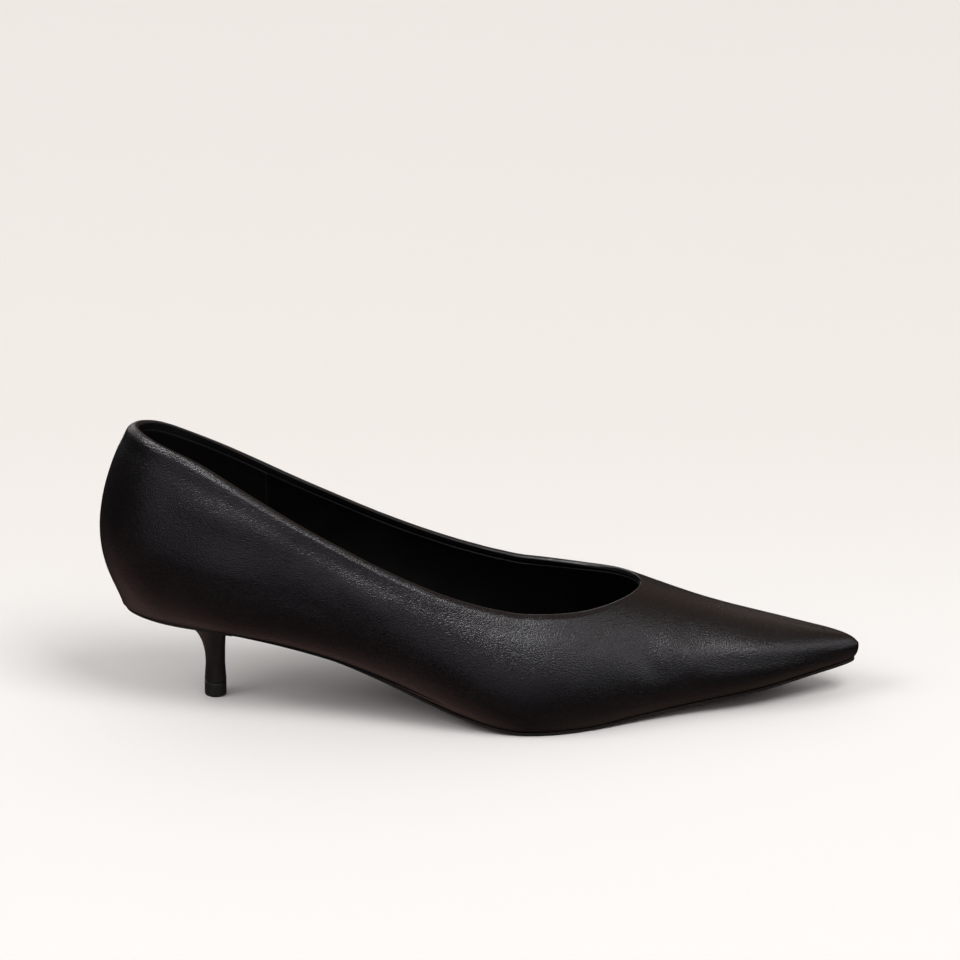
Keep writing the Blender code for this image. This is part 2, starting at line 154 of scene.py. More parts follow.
def bezier(points: Sequence[np.ndarray], g: np.ndarray) -> np.ndarray:
    """Cubic curve from four control points.

    Args:
        points: The curve's first end, its two handles and its last end.
        g: Places along it, 0 to 1.

    Returns:
        The curve's points there.
    """
    g = np.asarray(g)[..., None]
    first, second, third, last = points
    return first * (1 - g) ** 3 + second * 3 * g * (1 - g) ** 2 + third * 3 * g * g * (1 - g) + last * g**3


def along_columns(columns: np.ndarray, places: np.ndarray) -> np.ndarray:
    """Points at given lengths along each column of points.

    Args:
        columns: Columns by points by 3.
        places: Columns by lengths, in metres from each column's first point.

    Returns:
        Columns by lengths by 3.
    """
    steps = np.linalg.norm(np.diff(columns, axis=1), axis=-1)
    lengths = np.concatenate([np.zeros((len(columns), 1)), np.cumsum(steps, axis=1)], 1)
    made = np.empty(places.shape + (3,))
    for c, column in enumerate(columns):
        for k in range(3):
            made[c, :, k] = np.interp(places[c], lengths[c], column[:, k])
    return made


def column_lengths(columns: np.ndarray) -> np.ndarray:
    """Length of each column of points."""
    return np.linalg.norm(np.diff(columns, axis=1), axis=-1).sum(1)


class Profile(NamedTuple):
    """Wall profiles of the last at some places along its edge, one row each."""

    feather: np.ndarray
    widest: np.ndarray
    crown: np.ndarray
    out: np.ndarray
    turn: np.ndarray
    side: np.ndarray
    top: np.ndarray
    fall: np.ndarray


@dataclass
class Last:
    """The form that the shoe is made on. Its sizes and tables are those of the part's source."""

    length: float = 0.264
    ball_width: float = 0.074
    heel_height: float = 0.0357
    back_height: float = 0.0685
    instep_height: float = 0.0590
    toe_spring: float = 0.0114
    ball_feather: float = 0.0026
    low_rise: float = 0.35
    low_end: float = 0.50
    wall: float = 0.0019
    counter_extra: float = 0.0008
    back: float = field(init=False)
    centre: float = field(init=False)
    stem_back: float = 0.0400
    # along outer inner bulge bulge_up turn side crown_at crown_in crown top fall
    sections: tuple[tuple[float, ...], ...] = (
        (0.030, 0.000, 0.000, 0.104, 0.480, 0.30, 0.40, 0.170, 0.000, 1.690, 0.55, 0.000),
        (0.060, 0.135, 0.135, 0.130, 0.470, 0.50, 0.33, 0.170, 0.000, 1.690, 0.44, 0.000),
        (0.115, 0.172, 0.172, 0.160, 0.460, 0.75, 0.21, 0.176, 0.000, 1.620, 0.32, 0.000),
        (0.190, 0.178, 0.176, 0.172, 0.440, 0.90, 0.18, 0.200, 0.002, 1.520, 0.30, 0.000),
        (0.290, 0.215, 0.190, 0.172, 0.400, 0.90, 0.26, 0.290, 0.008, 1.300, 0.48, 0.000),
        (0.390, 0.310, 0.262, 0.132, 0.340, 0.75, 0.34, 0.390, 0.018, 1.110, 0.58, 0.000),
        (0.490, 0.440, 0.380, 0.072, 0.250, 0.60, 0.40, 0.490, 0.026, 0.970, 0.60, 0.000),
        (0.590, 0.478, 0.452, 0.042, 0.180, 0.60, 0.42, 0.590, 0.032, 0.850, 0.59, 0.000),
        (0.690, 0.362, 0.452, 0.040, 0.150, 0.60, 0.44, 0.690, 0.034, 0.678, 0.56, 0.000),
        (0.790, 0.240, 0.348, 0.038, 0.130, 0.60, 0.46, 0.790, 0.036, 0.474, 0.50, 0.000),
        (0.880, 0.155, 0.228, 0.036, 0.100, 0.60, 0.50, 0.872, 0.040, 0.328, 0.49, 0.000),
        (0.950, 0.045, 0.126, 0.030, 0.080, 0.60, 0.52, 0.925, 0.043, 0.236, 0.52, 0.006),
        (0.984, -0.010, 0.078, 0.024, 0.070, 0.60, 0.52, 0.947, 0.044, 0.198, 0.54, 0.018),
        (0.994, -0.044, 0.044, 0.022, 0.065, 0.60, 0.52, 0.955, 0.044, 0.186, 0.54, 0.026),
    )
    # along, share of the heel's height, share of the toe spring
    bottom: tuple[tuple[float, float, float], ...] = (
        (0.000, 1.012, 0.0),
        (0.027, 1.000, 0.0),
        (0.060, 0.973, 0.0),
        (0.115, 0.900, 0.0),
        (0.175, 0.812, 0.0),
        (0.230, 0.728, 0.0),
        (0.300, 0.595, 0.0),
        (0.380, 0.392, 0.0),
        (0.430, 0.254, 0.0),
        (0.480, 0.124, 0.0),
        (0.525, 0.036, 0.0),
        (0.560, 0.000, 0.0),
        (0.630, 0.000, 0.0),
        (0.720, 0.000, 0.150),
        (0.820, 0.000, 0.400),
        (0.920, 0.000, 0.715),
        (1.000, 0.000, 1.000),
    )
    # along, share of the back's height above the feather edge
    topline: tuple[tuple[float, float], ...] = (
        (0.000, 1.000),
        (0.040, 0.978),
        (0.115, 0.906),
        (0.190, 0.808),
        (0.270, 0.701),
        (0.350, 0.632),
        (0.430, 0.600),
        (0.530, 0.585),
        (0.620, 0.553),
        (0.712, 0.545),
        (0.760, 0.550),
    )

    def __post_init__(self) -> None:
        """Finds the last's place in the frame from the heel tip, whose axis it shares."""
        low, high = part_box("heel_tip")
        self.back = (low.x + high.x) / 2 - self.stem_back
        self.centre = (low.y + high.y) / 2

    def feather_height(self, x: np.ndarray) -> np.ndarray:
        """Height of the feather edge, x metres from the back of the shoe."""
        table = np.array(self.bottom)
        knots = table[:, 0] * self.length
        heights = self.ball_feather + table[:, 1] * (self.heel_height - self.ball_feather)
        heights = heights + table[:, 2] * self.toe_spring
        return curve_at(knots, heights, steady_slopes(knots, heights), np.clip(x, 0, self.length))

    def topline_height(self, x: np.ndarray) -> np.ndarray:
        """Height at which the leather is cut off, seen from the side."""
        table = np.array(self.topline)
        knots, shares = table[:, 0] * self.length, table[:, 1:]
        share = curve_at(knots, shares, cubic_slopes(knots, shares), np.clip(x, 0, knots[-1]))
        return self.feather_height(x) + share[..., 0] * self.back_height

    def profile(self, t: np.ndarray, side: Side) -> Profile:
        """Wall profiles along half the edge.

        Args:
            t: Places from the back, 0, to the toe tip, 1.
            side: The side of the foot. The crown line is the same for both.

        Returns:
            The profiles, in metres from the back of the shoe and its heel's centre line.
        """
        table = np.array(self.sections)
        plan = np.stack([table[:, 0] * self.length, (table[:, 1] + table[:, 2]) / 2 * self.ball_width], 1)
        half = np.concatenate([[0], np.cumsum(np.linalg.norm(np.diff(plan, axis=0), axis=1))])
        half /= half[-1]
        loop = np.concatenate([-half[:0:-1], half])
        edge = np.concatenate([table[:0:-1, 2], -table[:, 1]])[:, None]
        y = curve_at(loop, edge, cubic_slopes(loop, edge, closed=True), -side * np.asarray(t))[..., 0]
        row = curve_at(half, table, cubic_slopes(half, table), t)
        x = row[..., 0] * self.length
        feather = np.stack([x, y * self.ball_width, self.feather_height(x)], -1)
        crown_x = row[..., 7] * self.length
        crown_z = self.feather_height(crown_x) + row[..., 9] * self.instep_height
        crown = np.stack([crown_x, row[..., 8] * self.ball_width, crown_z], -1)
        out = (feather - crown) * (1 - UP)
        out /= np.linalg.norm(out, axis=-1, keepdims=True)
        widest = feather + out * row[..., 3:4] * self.ball_width + UP * row[..., 4:5] * self.instep_height
        return Profile(feather, widest, crown, out, *(row[..., k : k + 1] for k in (5, 6, 10, 11)))

    def low_wall(self, profile: Profile, g: np.ndarray) -> np.ndarray:
        """Wall from the feather edge, g = 0, to the widest point, g = 1."""
        across = profile.widest - profile.feather
        rise = across * UP
        start = profile.feather + (across - rise) * profile.turn + rise * (1 - profile.turn) * self.low_rise
        return bezier((profile.feather, start, profile.widest - rise * self.low_end, profile.widest), g)

    def high_wall(self, profile: Profile, g: np.ndarray) -> np.ndarray:
        """Wall from the widest point, g = 0, to the crown line, g = 1."""
        across = profile.crown - profile.widest
        rise = across * UP
        end = profile.crown - (across - rise) * profile.top - UP * profile.fall * self.instep_height
        return bezier((profile.widest, profile.widest + rise * profile.side, end, profile.crown), g)

    def place_at(self, x: float) -> float:
        """Place along the edge where the feather edge is x metres from the back."""
        t = np.linspace(0, 1, 2001)
        return float(np.interp(x, self.profile(t, Side.INNER).feather[:, 0], t))

    def throat_place(self) -> float:
        """Place along the edge where the topline meets the crown line."""
        t = np.linspace(0.3, 0.98, 1361)
        crown = self.profile(t, Side.INNER).crown
        above = crown[:, 2] - self.topline_height(crown[:, 0])
        last = np.where(above > 0)[0][-1]
        return t[last] + above[last] / (above[last] - above[last + 1]) * (t[last + 1] - t[last])

    def cut_share(self, profile: Profile) -> np.ndarray:
        """Share of each high wall that lies below the topline."""
        low = np.zeros(len(profile.feather))
        high = np.ones_like(low)
        for _ in range(40):
            middle = (low + high) / 2
            place = self.high_wall(profile, middle)
            over = place[:, 2] > self.topline_height(place[:, 0])
            high = np.where(over, middle, high)
            low = np.where(over, low, middle)
        return (low + high) / 2

    def thickness(self, profile: Profile) -> np.ndarray:
        """Wall thickness of each profile: the heel counter makes the back a little thicker."""
        extra = np.clip(1 - profile.feather[:, 0] / (0.3 * self.length), 0, 1)
        return self.wall + self.counter_extra * extra

    def wall_columns(self, t: np.ndarray, side: Side, throat: int) -> tuple[np.ndarray, Profile]:
        """Outer face of the wall, from the feather edge to the topline or crown line.

        Args:
            t: Places of the columns along the edge.
            side: The side of the foot.
            throat: Index of the column at the throat.

        Returns:
            Columns by 240 points, and their profiles.
        """
        profile = self.profile(t, side)
        share = self.cut_share(profile)
        share[throat:] = 1.0
        low = [self.low_wall(profile, np.full(len(t), g)) for g in np.linspace(0, 1, 80)]
        high = [self.high_wall(profile, share * g) for g in np.linspace(0, 1, 161)[1:]]
        return np.stack(low + high, 1), profile

    def moved_in(self, face: np.ndarray, profile: Profile, depth: np.ndarray, throat: int) -> np.ndarray:
        """A face moved inwards, in each profile's own plane.

        Args:
            face: Columns by points.
            profile: The profiles of the columns.
            depth: How far, for each column.
            throat: Index of the column at the throat, from which the top points move straight down.

        Returns:
            The moved face.
        """
        flat = np.stack([np.sum((face - profile.feather[:, None]) * profile.out[:, None], -1), face[..., 2]], -1)
        steps = np.diff(flat, axis=1)
        steps /= np.linalg.norm(steps, axis=-1, keepdims=True)
        normals = np.stack([-steps[..., 1], steps[..., 0]], -1)
        before = np.concatenate([normals[:, :1], normals], 1)
        mitre = before + np.concatenate([normals, normals[:, -1:]], 1)
        mitre /= np.linalg.norm(mitre, axis=-1, keepdims=True)
        mitre[throat:, -1] = (0.0, -1.0)
        move = mitre * depth[:, None, None]
        return face + profile.out[:, None] * move[..., :1] + UP * move[..., 1:]

    def in_frame(self, points: np.ndarray) -> np.ndarray:
        """Points measured from the back of the shoe, moved to the frame's own place."""
        return points + (self.back, self.centre, 0.0)


class Wire:
    """A socket of a node tree, so that shader maths reads as a Python expression."""

    def __init__(self, tree: bpy.types.NodeTree, socket: bpy.types.NodeSocket) -> None:
        """Keeps the socket and the tree that it is in."""
        self.tree = tree
        self.socket = socket

    def maths(self, operation: str, *values: Wire | float) -> Wire:
        """A Math node on these values.

        Args:
            operation: The node's operation.
            values: Its inputs in order.

        Returns:
            Its result.
        """
        node = self.tree.nodes.new("ShaderNodeMath")
        node.operation = operation
        for socket, value in zip(node.inputs, values):
            if isinstance(value, Wire):
                self.tree.links.new(value.socket, socket)
            else:
                socket.default_value = value
        return Wire(self.tree, node.outputs[0])

    def __add__(self, other: Wire | float) -> Wire:
        """The sum."""
        return self.maths("ADD", self, other)

    __radd__ = __add__

    def __sub__(self, other: Wire | float) -> Wire:
        """The difference."""
        return self.maths("SUBTRACT", self, other)

    def __rsub__(self, other: Wire | float) -> Wire:
        """The difference, from a number."""
        return self.maths("SUBTRACT", other, self)

    def __mul__(self, other: Wire | float) -> Wire:
        """The product."""
        return self.maths("MULTIPLY", self, other)

    __rmul__ = __mul__

    def size(self) -> Wire:
        """This value without its sign."""
        return self.maths("ABSOLUTE", self)

    def smooth(self, start: float, end: float) -> Wire:
        """0 below start, 1 above end, smooth between them."""
        node = self.tree.nodes.new("ShaderNodeMapRange")
        node.interpolation_type = "SMOOTHSTEP"
        self.tree.links.new(self.socket, node.inputs["Value"])
        node.inputs["From Min"].default_value = start
        node.inputs["From Max"].default_value = end
        return Wire(self.tree, node.outputs["Result"])


class NodeSheet:
    """A node tree under construction."""

    def __init__(self, tree: bpy.types.NodeTree) -> None:
        """Keeps the tree."""
        self.tree = tree

    def node(self, kind: str, settings: dict[str, Any], inputs: dict[str | int, Any], output: str | int = 0) -> Wire:
        """Any node.

        Args:
            kind: The node's type.
            settings: Its own settings, set first.
            inputs: Values or wires for its sockets, by name or number.
            output: The socket to take.

        Returns:
            That output.
        """
        node = self.tree.nodes.new(kind)
        for name, value in settings.items():
            setattr(node, name, value)
        for name, value in inputs.items():
            if isinstance(value, Wire):
                self.tree.links.new(value.socket, node.inputs[name])
            else:
                node.inputs[name].default_value = value
        return Wire(self.tree, node.outputs[output])


class MaterialSheet(NodeSheet):
    """A material under construction: the few kinds of node that the finishes are made of."""

    def __init__(self, name: str) -> None:
        """Makes an empty material with one surface shader."""
        self.material = bpy.data.materials.new(name)
        self.material.use_nodes = True
        super().__init__(self.material.node_tree)
        self.shader = self.tree.nodes["Principled BSDF"]

    def place(self, scale: Sequence[float] = (1.0, 1.0, 1.0)) -> Wire:
        """Object coordinates, scaled by repeats to the metre along each axis."""
        spot = self.node("ShaderNodeTexCoord", {}, {}, "Object")
        return self.node("ShaderNodeMapping", {}, {"Vector": spot, "Scale": tuple(scale)})

    def along(self, axis: str) -> Wire:
        """The place along one axis of the frame, in metres."""
        return self.node("ShaderNodeSeparateXYZ", {}, {"Vector": self.place()}, axis)

    def noise(self, scale: Sequence[float], detail: float = 2.0, rough: float = 0.5, warp: float = 0.0) -> Wire:
        """Soft noise between 0 and 1.

        Args:
            scale: Repeats to the metre along each axis.
            detail: Number of finer layers.
            rough: Strength of the finer layers.
            warp: How far the pattern is pushed about.

        Returns:
            The noise.
        """
        inputs = {"Vector": self.place(scale), "Scale": 1.0, "Detail": detail, "Roughness": rough, "Distortion": warp}
        return self.node("ShaderNodeTexNoise", {}, inputs, "Fac")

    def cells(self, scale: Sequence[float], smoothness: float = 0.4) -> Wire:
        """Rounded pebbles: 0 at their middles, higher in the creases between them."""
        settings = {"feature": "SMOOTH_F1"}
        inputs = {"Vector": self.place(scale), "Scale": 1.0, "Smoothness": smoothness, "Randomness": 1.0}
        return self.node("ShaderNodeTexVoronoi", settings, inputs, "Distance")

    def mixed(self, mask: Wire | float, first: Sequence[float], second: Sequence[float] | Wire) -> Wire:
        """A colour between two."""
        node = self.tree.nodes.new("ShaderNodeMix")
        node.data_type = "RGBA"
        for name, value in (("Factor_Float", mask), ("A_Color", first), ("B_Color", second)):
            socket = next(s for s in node.inputs if s.identifier == name)
            if isinstance(value, Wire):
                self.tree.links.new(value.socket, socket)
            else:
                socket.default_value = value if isinstance(value, (int, float)) else (*value, 1.0)[:4]
        return Wire(self.tree, next(s for s in node.outputs if s.identifier == "Result_Color"))

    def bump(self, height: Wire, distance: float, strength: float = 1.0, under: Wire | None = None) -> Wire:
        """A Bump node on a height between 0 and 1.

        Args:
            height: The relief.
            distance: Its depth in metres.
            strength: Its weight.
            under: A coarser bump that it lies on.

        Returns:
            The normal.
        """
        inputs: dict[str, Any] = {"Height": height, "Distance": distance, "Strength": strength}
        if under is not None:
            inputs["Normal"] = under
        return self.node("ShaderNodeBump", {}, inputs)

    def set(self, **values: Any) -> None:
        """Sets or links the surface shader's sockets; an underscore stands for a space."""
        for name, value in values.items():
            socket = self.shader.inputs[name.replace("_", " ")]
            if isinstance(value, Wire):
                self.tree.links.new(value.socket, socket)
            else:
                socket.default_value = value


@dataclass(frozen=True)
class Leather:
    """Smooth box calf: near black with a faint plum cast, fine pores and soft level wrinkles."""

    name: str = "black calf"
    deep: tuple[float, float, float] = (0.0019, 0.0016, 0.0020)
    worn: tuple[float, float, float] = (0.0030, 0.0025, 0.0030)
    roughness: float = 0.29
    spread: float = 0.07
    pore: float = 0.00052
    pore_flatness: float = 1.5
    pore_depth: float = 0.00010
    pore_dulling: float = 0.05
    wrinkles: tuple[float, float, float] = (520, 520, 1800)
    wrinkle_depth: float = 0.00010
    patches: tuple[float, float, float] = (55, 55, 80)
    fold_dulling: float = 0.35

    def material(self) -> bpy.types.Material:
        """The finish as a material. It is duller where the piece's own "fold" value is high."""
        sheet = MaterialSheet(self.name)
        fine = 1 / self.pore
        broad = sheet.noise(self.patches, detail=3.0)
        pores = sheet.cells((fine, fine, fine * self.pore_flatness))
        wrinkles = sheet.noise(self.wrinkles, detail=3.0, rough=0.6, warp=0.35)
        colour = sheet.mixed((broad * 0.7 + wrinkles * 0.3).smooth(0.35, 0.7), self.deep, self.worn)
        gloss = self.roughness + self.spread * (broad - 0.5) + self.pore_dulling * pores
        fold = sheet.node("ShaderNodeAttribute", {"attribute_name": "fold"}, {}, "Fac")
        soft = sheet.bump(wrinkles, self.wrinkle_depth)
        grain = sheet.bump(1 - pores, self.pore_depth, under=soft)
        sheet.set(Base_Color=colour, Roughness=gloss + self.fold_dulling * fold, Normal=grain)
        return sheet.material


@dataclass(frozen=True)
class LiningSkin:
    """Matt black lining skin with a very fine nap, paler behind its seam where it has one, with a painted highlight
    along that seam.
    """

    name: str = "black lining"
    deep: tuple[float, float, float] = (0.0006, 0.0006, 0.0010)
    worn: tuple[float, float, float] = (0.0022, 0.0020, 0.0028)
    grip: tuple[float, float, float] = (0.0042, 0.0038, 0.0046)
    # pale colour of a painted highlight along the seam, standing in for light on its ridge
    seam_highlight: tuple[float, float, float] = (0.0120, 0.0105, 0.0125)
    seam_at: float | None = -0.0743
    seam_soft: float = 0.0003
    seam_highlight_edge: tuple[float, float] = (0.0002, 0.0005)
    roughness: float = 0.55
    spread: float = 0.12
    nap: float = 2600
    nap_depth: float = 0.00004
    patches: float = 70

    def material(self) -> bpy.types.Material:
        """The finish as a material."""
        sheet = MaterialSheet(self.name)
        nap = sheet.noise((self.nap,) * 3)
        broad = sheet.noise((self.patches,) * 3, detail=3.0)
        colour = sheet.mixed(broad.smooth(0.3, 0.75), self.deep, self.worn)
        if self.seam_at is not None:
            ahead = sheet.along("X") - self.seam_at
            colour = sheet.mixed(ahead.smooth(-self.seam_soft, self.seam_soft), self.grip, colour)
            # painted highlight: a pale line along the seam
            colour = sheet.mixed(ahead.size().smooth(*self.seam_highlight_edge), self.seam_highlight, colour)
        sheet.set(Base_Color=colour, Roughness=self.roughness + self.spread * (broad - 0.5),
                  Normal=sheet.bump(nap, self.nap_depth, 0.6), Specular_IOR_Level=0.2)
        return sheet.material


@dataclass(frozen=True)
class SoleLeather:
    """Matt black sole stuff with fine grain along the sole and soft patches."""

    name: str = "black sole leather"
    deep: tuple[float, float, float] = (0.0075, 0.0062, 0.0056)
    worn: tuple[float, float, float] = (0.0160, 0.0128, 0.0108)
    roughness: float = 0.46
    spread: float = 0.14
    fibres: tuple[float, float, float] = (260, 1500, 1500)
    fibre_depth: float = 0.00003
    patches: tuple[float, float, float] = (40, 60, 60)

    def material(self) -> bpy.types.Material:
        """The finish as a material."""
        sheet = MaterialSheet(self.name)
        fibres = sheet.noise(self.fibres, detail=3.0, rough=0.6)
        broad = sheet.noise(self.patches, detail=3.0)
        colour = sheet.mixed((fibres * 0.5 + broad * 0.5).smooth(0.35, 0.7), self.deep, self.worn)
        sheet.set(Base_Color=colour, Roughness=self.roughness + self.spread * (broad - 0.5),
                  Normal=sheet.bump(fibres, self.fibre_depth, 0.6))
        return sheet.material


@dataclass(frozen=True)
class MouldedRubber:
    """Hard black rubber of the top piece, with fine upright mould marks."""

    name: str = "black top piece"
    colour: tuple[float, float, float] = (0.0085, 0.0086, 0.0078)
    speck: tuple[float, float, float] = (0.0150, 0.0150, 0.0135)
    roughness: float = 0.5
    spread: float = 0.15
    marks: tuple[float, float, float] = (2200, 2200, 240)
    mark_depth: float = 0.00003
    specks: float = 900

    def material(self) -> bpy.types.Material:
        """The finish as a material."""
        sheet = MaterialSheet(self.name)
        marks = sheet.noise(self.marks)
        specks = sheet.noise((self.specks,) * 3, detail=3.0)
        colour = sheet.mixed(specks.smooth(0.5, 0.75), self.colour, self.speck)
        sheet.set(Base_Color=colour, Roughness=self.roughness + self.spread * (specks - 0.5),
                  Normal=sheet.bump(marks, self.mark_depth, 0.7))
        return sheet.material


class Bench:
    """The hand operations that every piece is made with."""

    @staticmethod
    def clear() -> None:
        """Deselects everything."""
        for obj in bpy.context.selected_objects:
            obj.select_set(False)

    @staticmethod
    @contextmanager
    def editing(obj: bpy.types.Object) -> Iterator[None]:
        """Edit mode on one object, with nothing else selected."""
        Bench.clear()
        obj.select_set(True)
        bpy.context.view_layer.objects.active = obj
        bpy.ops.object.mode_set(mode="EDIT")
        try:
            yield
        finally:
            bpy.ops.object.mode_set(mode="OBJECT")

    @staticmethod
    def flat_sheet(name: str, columns: int, rows: int) -> bpy.types.Object:
        """A flat sheet of one unit to each column and row, its first corner at the origin."""
        Bench.clear()
        bpy.ops.mesh.primitive_grid_add(x_subdivisions=columns, y_subdivisions=rows, size=1.0,
                                        location=(0.5, 0.5, 0.0))
        obj = bpy.context.object
        obj.name = obj.data.name = name
        bpy.ops.object.transform_apply(location=True, rotation=False, scale=False)
        obj.scale = (columns, rows, 1.0)
        bpy.ops.object.transform_apply(location=False, rotation=False, scale=True)
        return obj

    @staticmethod
    def choose(obj: bpy.types.Object, kind: str, chosen: Sequence[bool] | np.ndarray) -> None:
        """Selects parts of an object that is in edit mode, and nothing else of it.

        Args:
            obj: The object.
            kind: "VERT" or "FACE".
            chosen: One flag for each of its vertices or faces.
        """
        bpy.ops.mesh.select_mode(type=kind)
        bpy.ops.mesh.select_all(action="DESELECT")
        bpy.ops.object.mode_set(mode="OBJECT")
        parts = obj.data.vertices if kind == "VERT" else obj.data.polygons
        parts.foreach_set("select", chosen)
        bpy.ops.object.mode_set(mode="EDIT")

    @staticmethod
    def cut_away(obj: bpy.types.Object, columns: tuple[float, float], rows: tuple[float, float]) -> None:
        """Cuts a rectangle out of a flat sheet.

        Args:
            obj: The sheet, still flat.
            columns: First and last column of the cut.
            rows: First and last row of the cut.
        """
        spots = [face.center for face in obj.data.polygons]
        inside = [columns[0] < x < columns[1] and rows[0] < y < rows[1] for x, y, _ in spots]
        with Bench.editing(obj):
            Bench.choose(obj, "FACE", inside)
            bpy.ops.mesh.delete(type="FACE")

    @staticmethod
    def close_holes(obj: bpy.types.Object) -> None:
        """Closes every open loop of edges with a face, and sews it in."""
        with Bench.editing(obj):
            bpy.ops.mesh.select_mode(type="EDGE")
            bpy.ops.mesh.select_all(action="DESELECT")
            bpy.ops.mesh.select_non_manifold(extend=False, use_wire=False, use_multi_face=False,
                                             use_non_contiguous=False, use_verts=False)
            bpy.ops.mesh.fill_holes(sides=0)
        Bench.sew(obj)

    @staticmethod
    def lay(obj: bpy.types.Object, points: np.ndarray) -> None:
        """Draws a flat sheet over a form.

        Args:
            obj: The sheet.
            points: Columns by rows by 3, the place of each of its corners.
        """
        mesh = obj.data
        flat = np.empty(len(mesh.vertices) * 3)
        mesh.vertices.foreach_get("co", flat)
        place = np.rint(flat.reshape(-1, 3)).astype(int)
        mesh.vertices.foreach_set("co", points[place[:, 0], place[:, 1]].ravel())
        mesh.update()

    @staticmethod
    def mark(obj: bpy.types.Object, name: str, values: np.ndarray) -> None:
        """Gives each corner of a flat sheet a value of its row, which its material reads by name."""
        mesh = obj.data
        flat = np.empty(len(mesh.vertices) * 3)
        mesh.vertices.foreach_get("co", flat)
        rows = np.rint(flat.reshape(-1, 3)[:, 1]).astype(int)
        mesh.attributes.new(name, "FLOAT", "POINT").data.foreach_set("value", values[rows])

    @staticmethod
    def sew(obj: bpy.types.Object, distance: float = 1e-6) -> None:
        """Joins the points that lie on each other and turns the faces outwards."""
        with Bench.editing(obj):
            bpy.ops.mesh.select_mode(type="VERT")
            bpy.ops.mesh.select_all(action="SELECT")
            bpy.ops.mesh.remove_doubles(threshold=distance)
            bpy.ops.mesh.select_all(action="SELECT")
            bpy.ops.mesh.normals_make_consistent(inside=False)

    @staticmethod
    def drawn_over(name: str, points: np.ndarray) -> bpy.types.Object:
        """A sheet drawn over a form and sewn up.

        Args:
            name: The piece's name.
            points: Columns by rows by 3, the place of each of its corners.

        Returns:
            The sheet.
        """
        sheet = Bench.flat_sheet(name, points.shape[0] - 1, points.shape[1] - 1)
        Bench.lay(sheet, points)
        Bench.sew(sheet)
        return sheet

    @staticmethod
    def modify(obj: bpy.types.Object, kind: str, **settings: Any) -> None:
        """Adds a modifier and applies it."""
        Bench.clear()
        obj.select_set(True)
        bpy.context.view_layer.objects.active = obj
        modifier = obj.modifiers.new(kind.lower(), kind)
        for name, value in settings.items():
            setattr(modifier, name, value)
        bpy.ops.object.modifier_apply(modifier=modifier.name)

    @staticmethod
    def smoothed(obj: bpy.types.Object, chosen: np.ndarray, repeat: int) -> None:
        """Smooths the chosen vertices.

        Args:
            obj: The piece.
            chosen: One flag for each vertex.
            repeat: Number of passes.
        """
        with Bench.editing(obj):
            Bench.choose(obj, "VERT", chosen)
            bpy.ops.mesh.vertices_smooth(factor=0.5, repeat=repeat)

    @staticmethod
    def points(obj: bpy.types.Object) -> np.ndarray:
        """The places of an object's vertices."""
        flat = np.empty(len(obj.data.vertices) * 3)
        obj.data.vertices.foreach_get("co", flat)
        return flat.reshape(-1, 3)

    @staticmethod
    def normals(obj: bpy.types.Object) -> np.ndarray:
        """The normals of an object's vertices."""
        flat = np.empty(len(obj.data.vertices) * 3)
        obj.data.vertices.foreach_get("normal", flat)
        return flat.reshape(-1, 3)

    @staticmethod
    def finish(obj: bpy.types.Object, material: bpy.types.Material, slot: str, nodes: Sequence[str],
               angle: float = 40.0) -> bpy.types.Object:
        """Dresses a piece and fixes it to the shoe.

        Args:
            obj: The piece.
            material: Its finish.
            slot: The record's material slot; not used.
            nodes: The CAD nodes that it stands for.
            angle: Edges sharper than this stay sharp, in degrees.

        Returns:
            The piece.
        """
        Bench.clear()
        obj.select_set(True)
        bpy.context.view_layer.objects.active = obj
        bpy.ops.object.shade_smooth_by_angle(angle=math.radians(angle))
        obj.data.materials.clear()
        obj.data.materials.append(material)
        if nodes:
            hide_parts(*nodes)
        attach(obj, BODY)
        obj.data.calc_loop_triangles()
        LOG.info("%s: %d triangles", obj.name, len(obj.data.loop_triangles))
        return obj


@dataclass
class Columns:
    """Where the upper's columns of points stand along half the edge, and which one is at the throat."""

    last: Last
    quarter: int = 130
    near: int = 34
    toe: int = 84
    near_reach: float = 0.17
    quarter_crowding: float = 1.15
    near_crowding: float = 1.7
    toe_crowding: float = 1.35
    ahead_span: tuple[float, float] = (0.14, 0.015)
    places: np.ndarray = field(init=False)
    throat: int = field(init=False)

    def __post_init__(self) -> None:
        """Spaces the columns: closer at the back of the heel, at the throat and at the toe tip."""
        throat = self.last.throat_place()
        toe = 1 - (1 - throat) * (1 - np.arange(1, self.toe + 1) / self.toe) ** self.toe_crowding
        near = throat - self.near_reach * (np.arange(self.near, 0, -1) / self.near) ** self.near_crowding
        quarter = near[0] * (np.arange(self.quarter) / self.quarter) ** self.quarter_crowding
        self.places = np.concatenate([quarter, near, [throat], toe])
        self.throat = self.quarter + self.near

    def ahead(self) -> np.ndarray:
        """0 along the quarters and 1 at the throat, for each column."""
        throat, (start, end) = self.places[self.throat], self.ahead_span
        return eased(self.places, throat - start, throat - end)

    @staticmethod
    def around(outer: np.ndarray, inner: np.ndarray) -> np.ndarray:
        """One run of columns from the back along the outer side to the toe and home along the inner."""
        return np.concatenate([outer, inner[-2::-1]])

    def toe_span(self) -> tuple[int, int]:
        """Index of the throat's column in that run, on the outer side and on the inner side."""
        return self.throat, 2 * (len(self.places) - 1) - self.throat


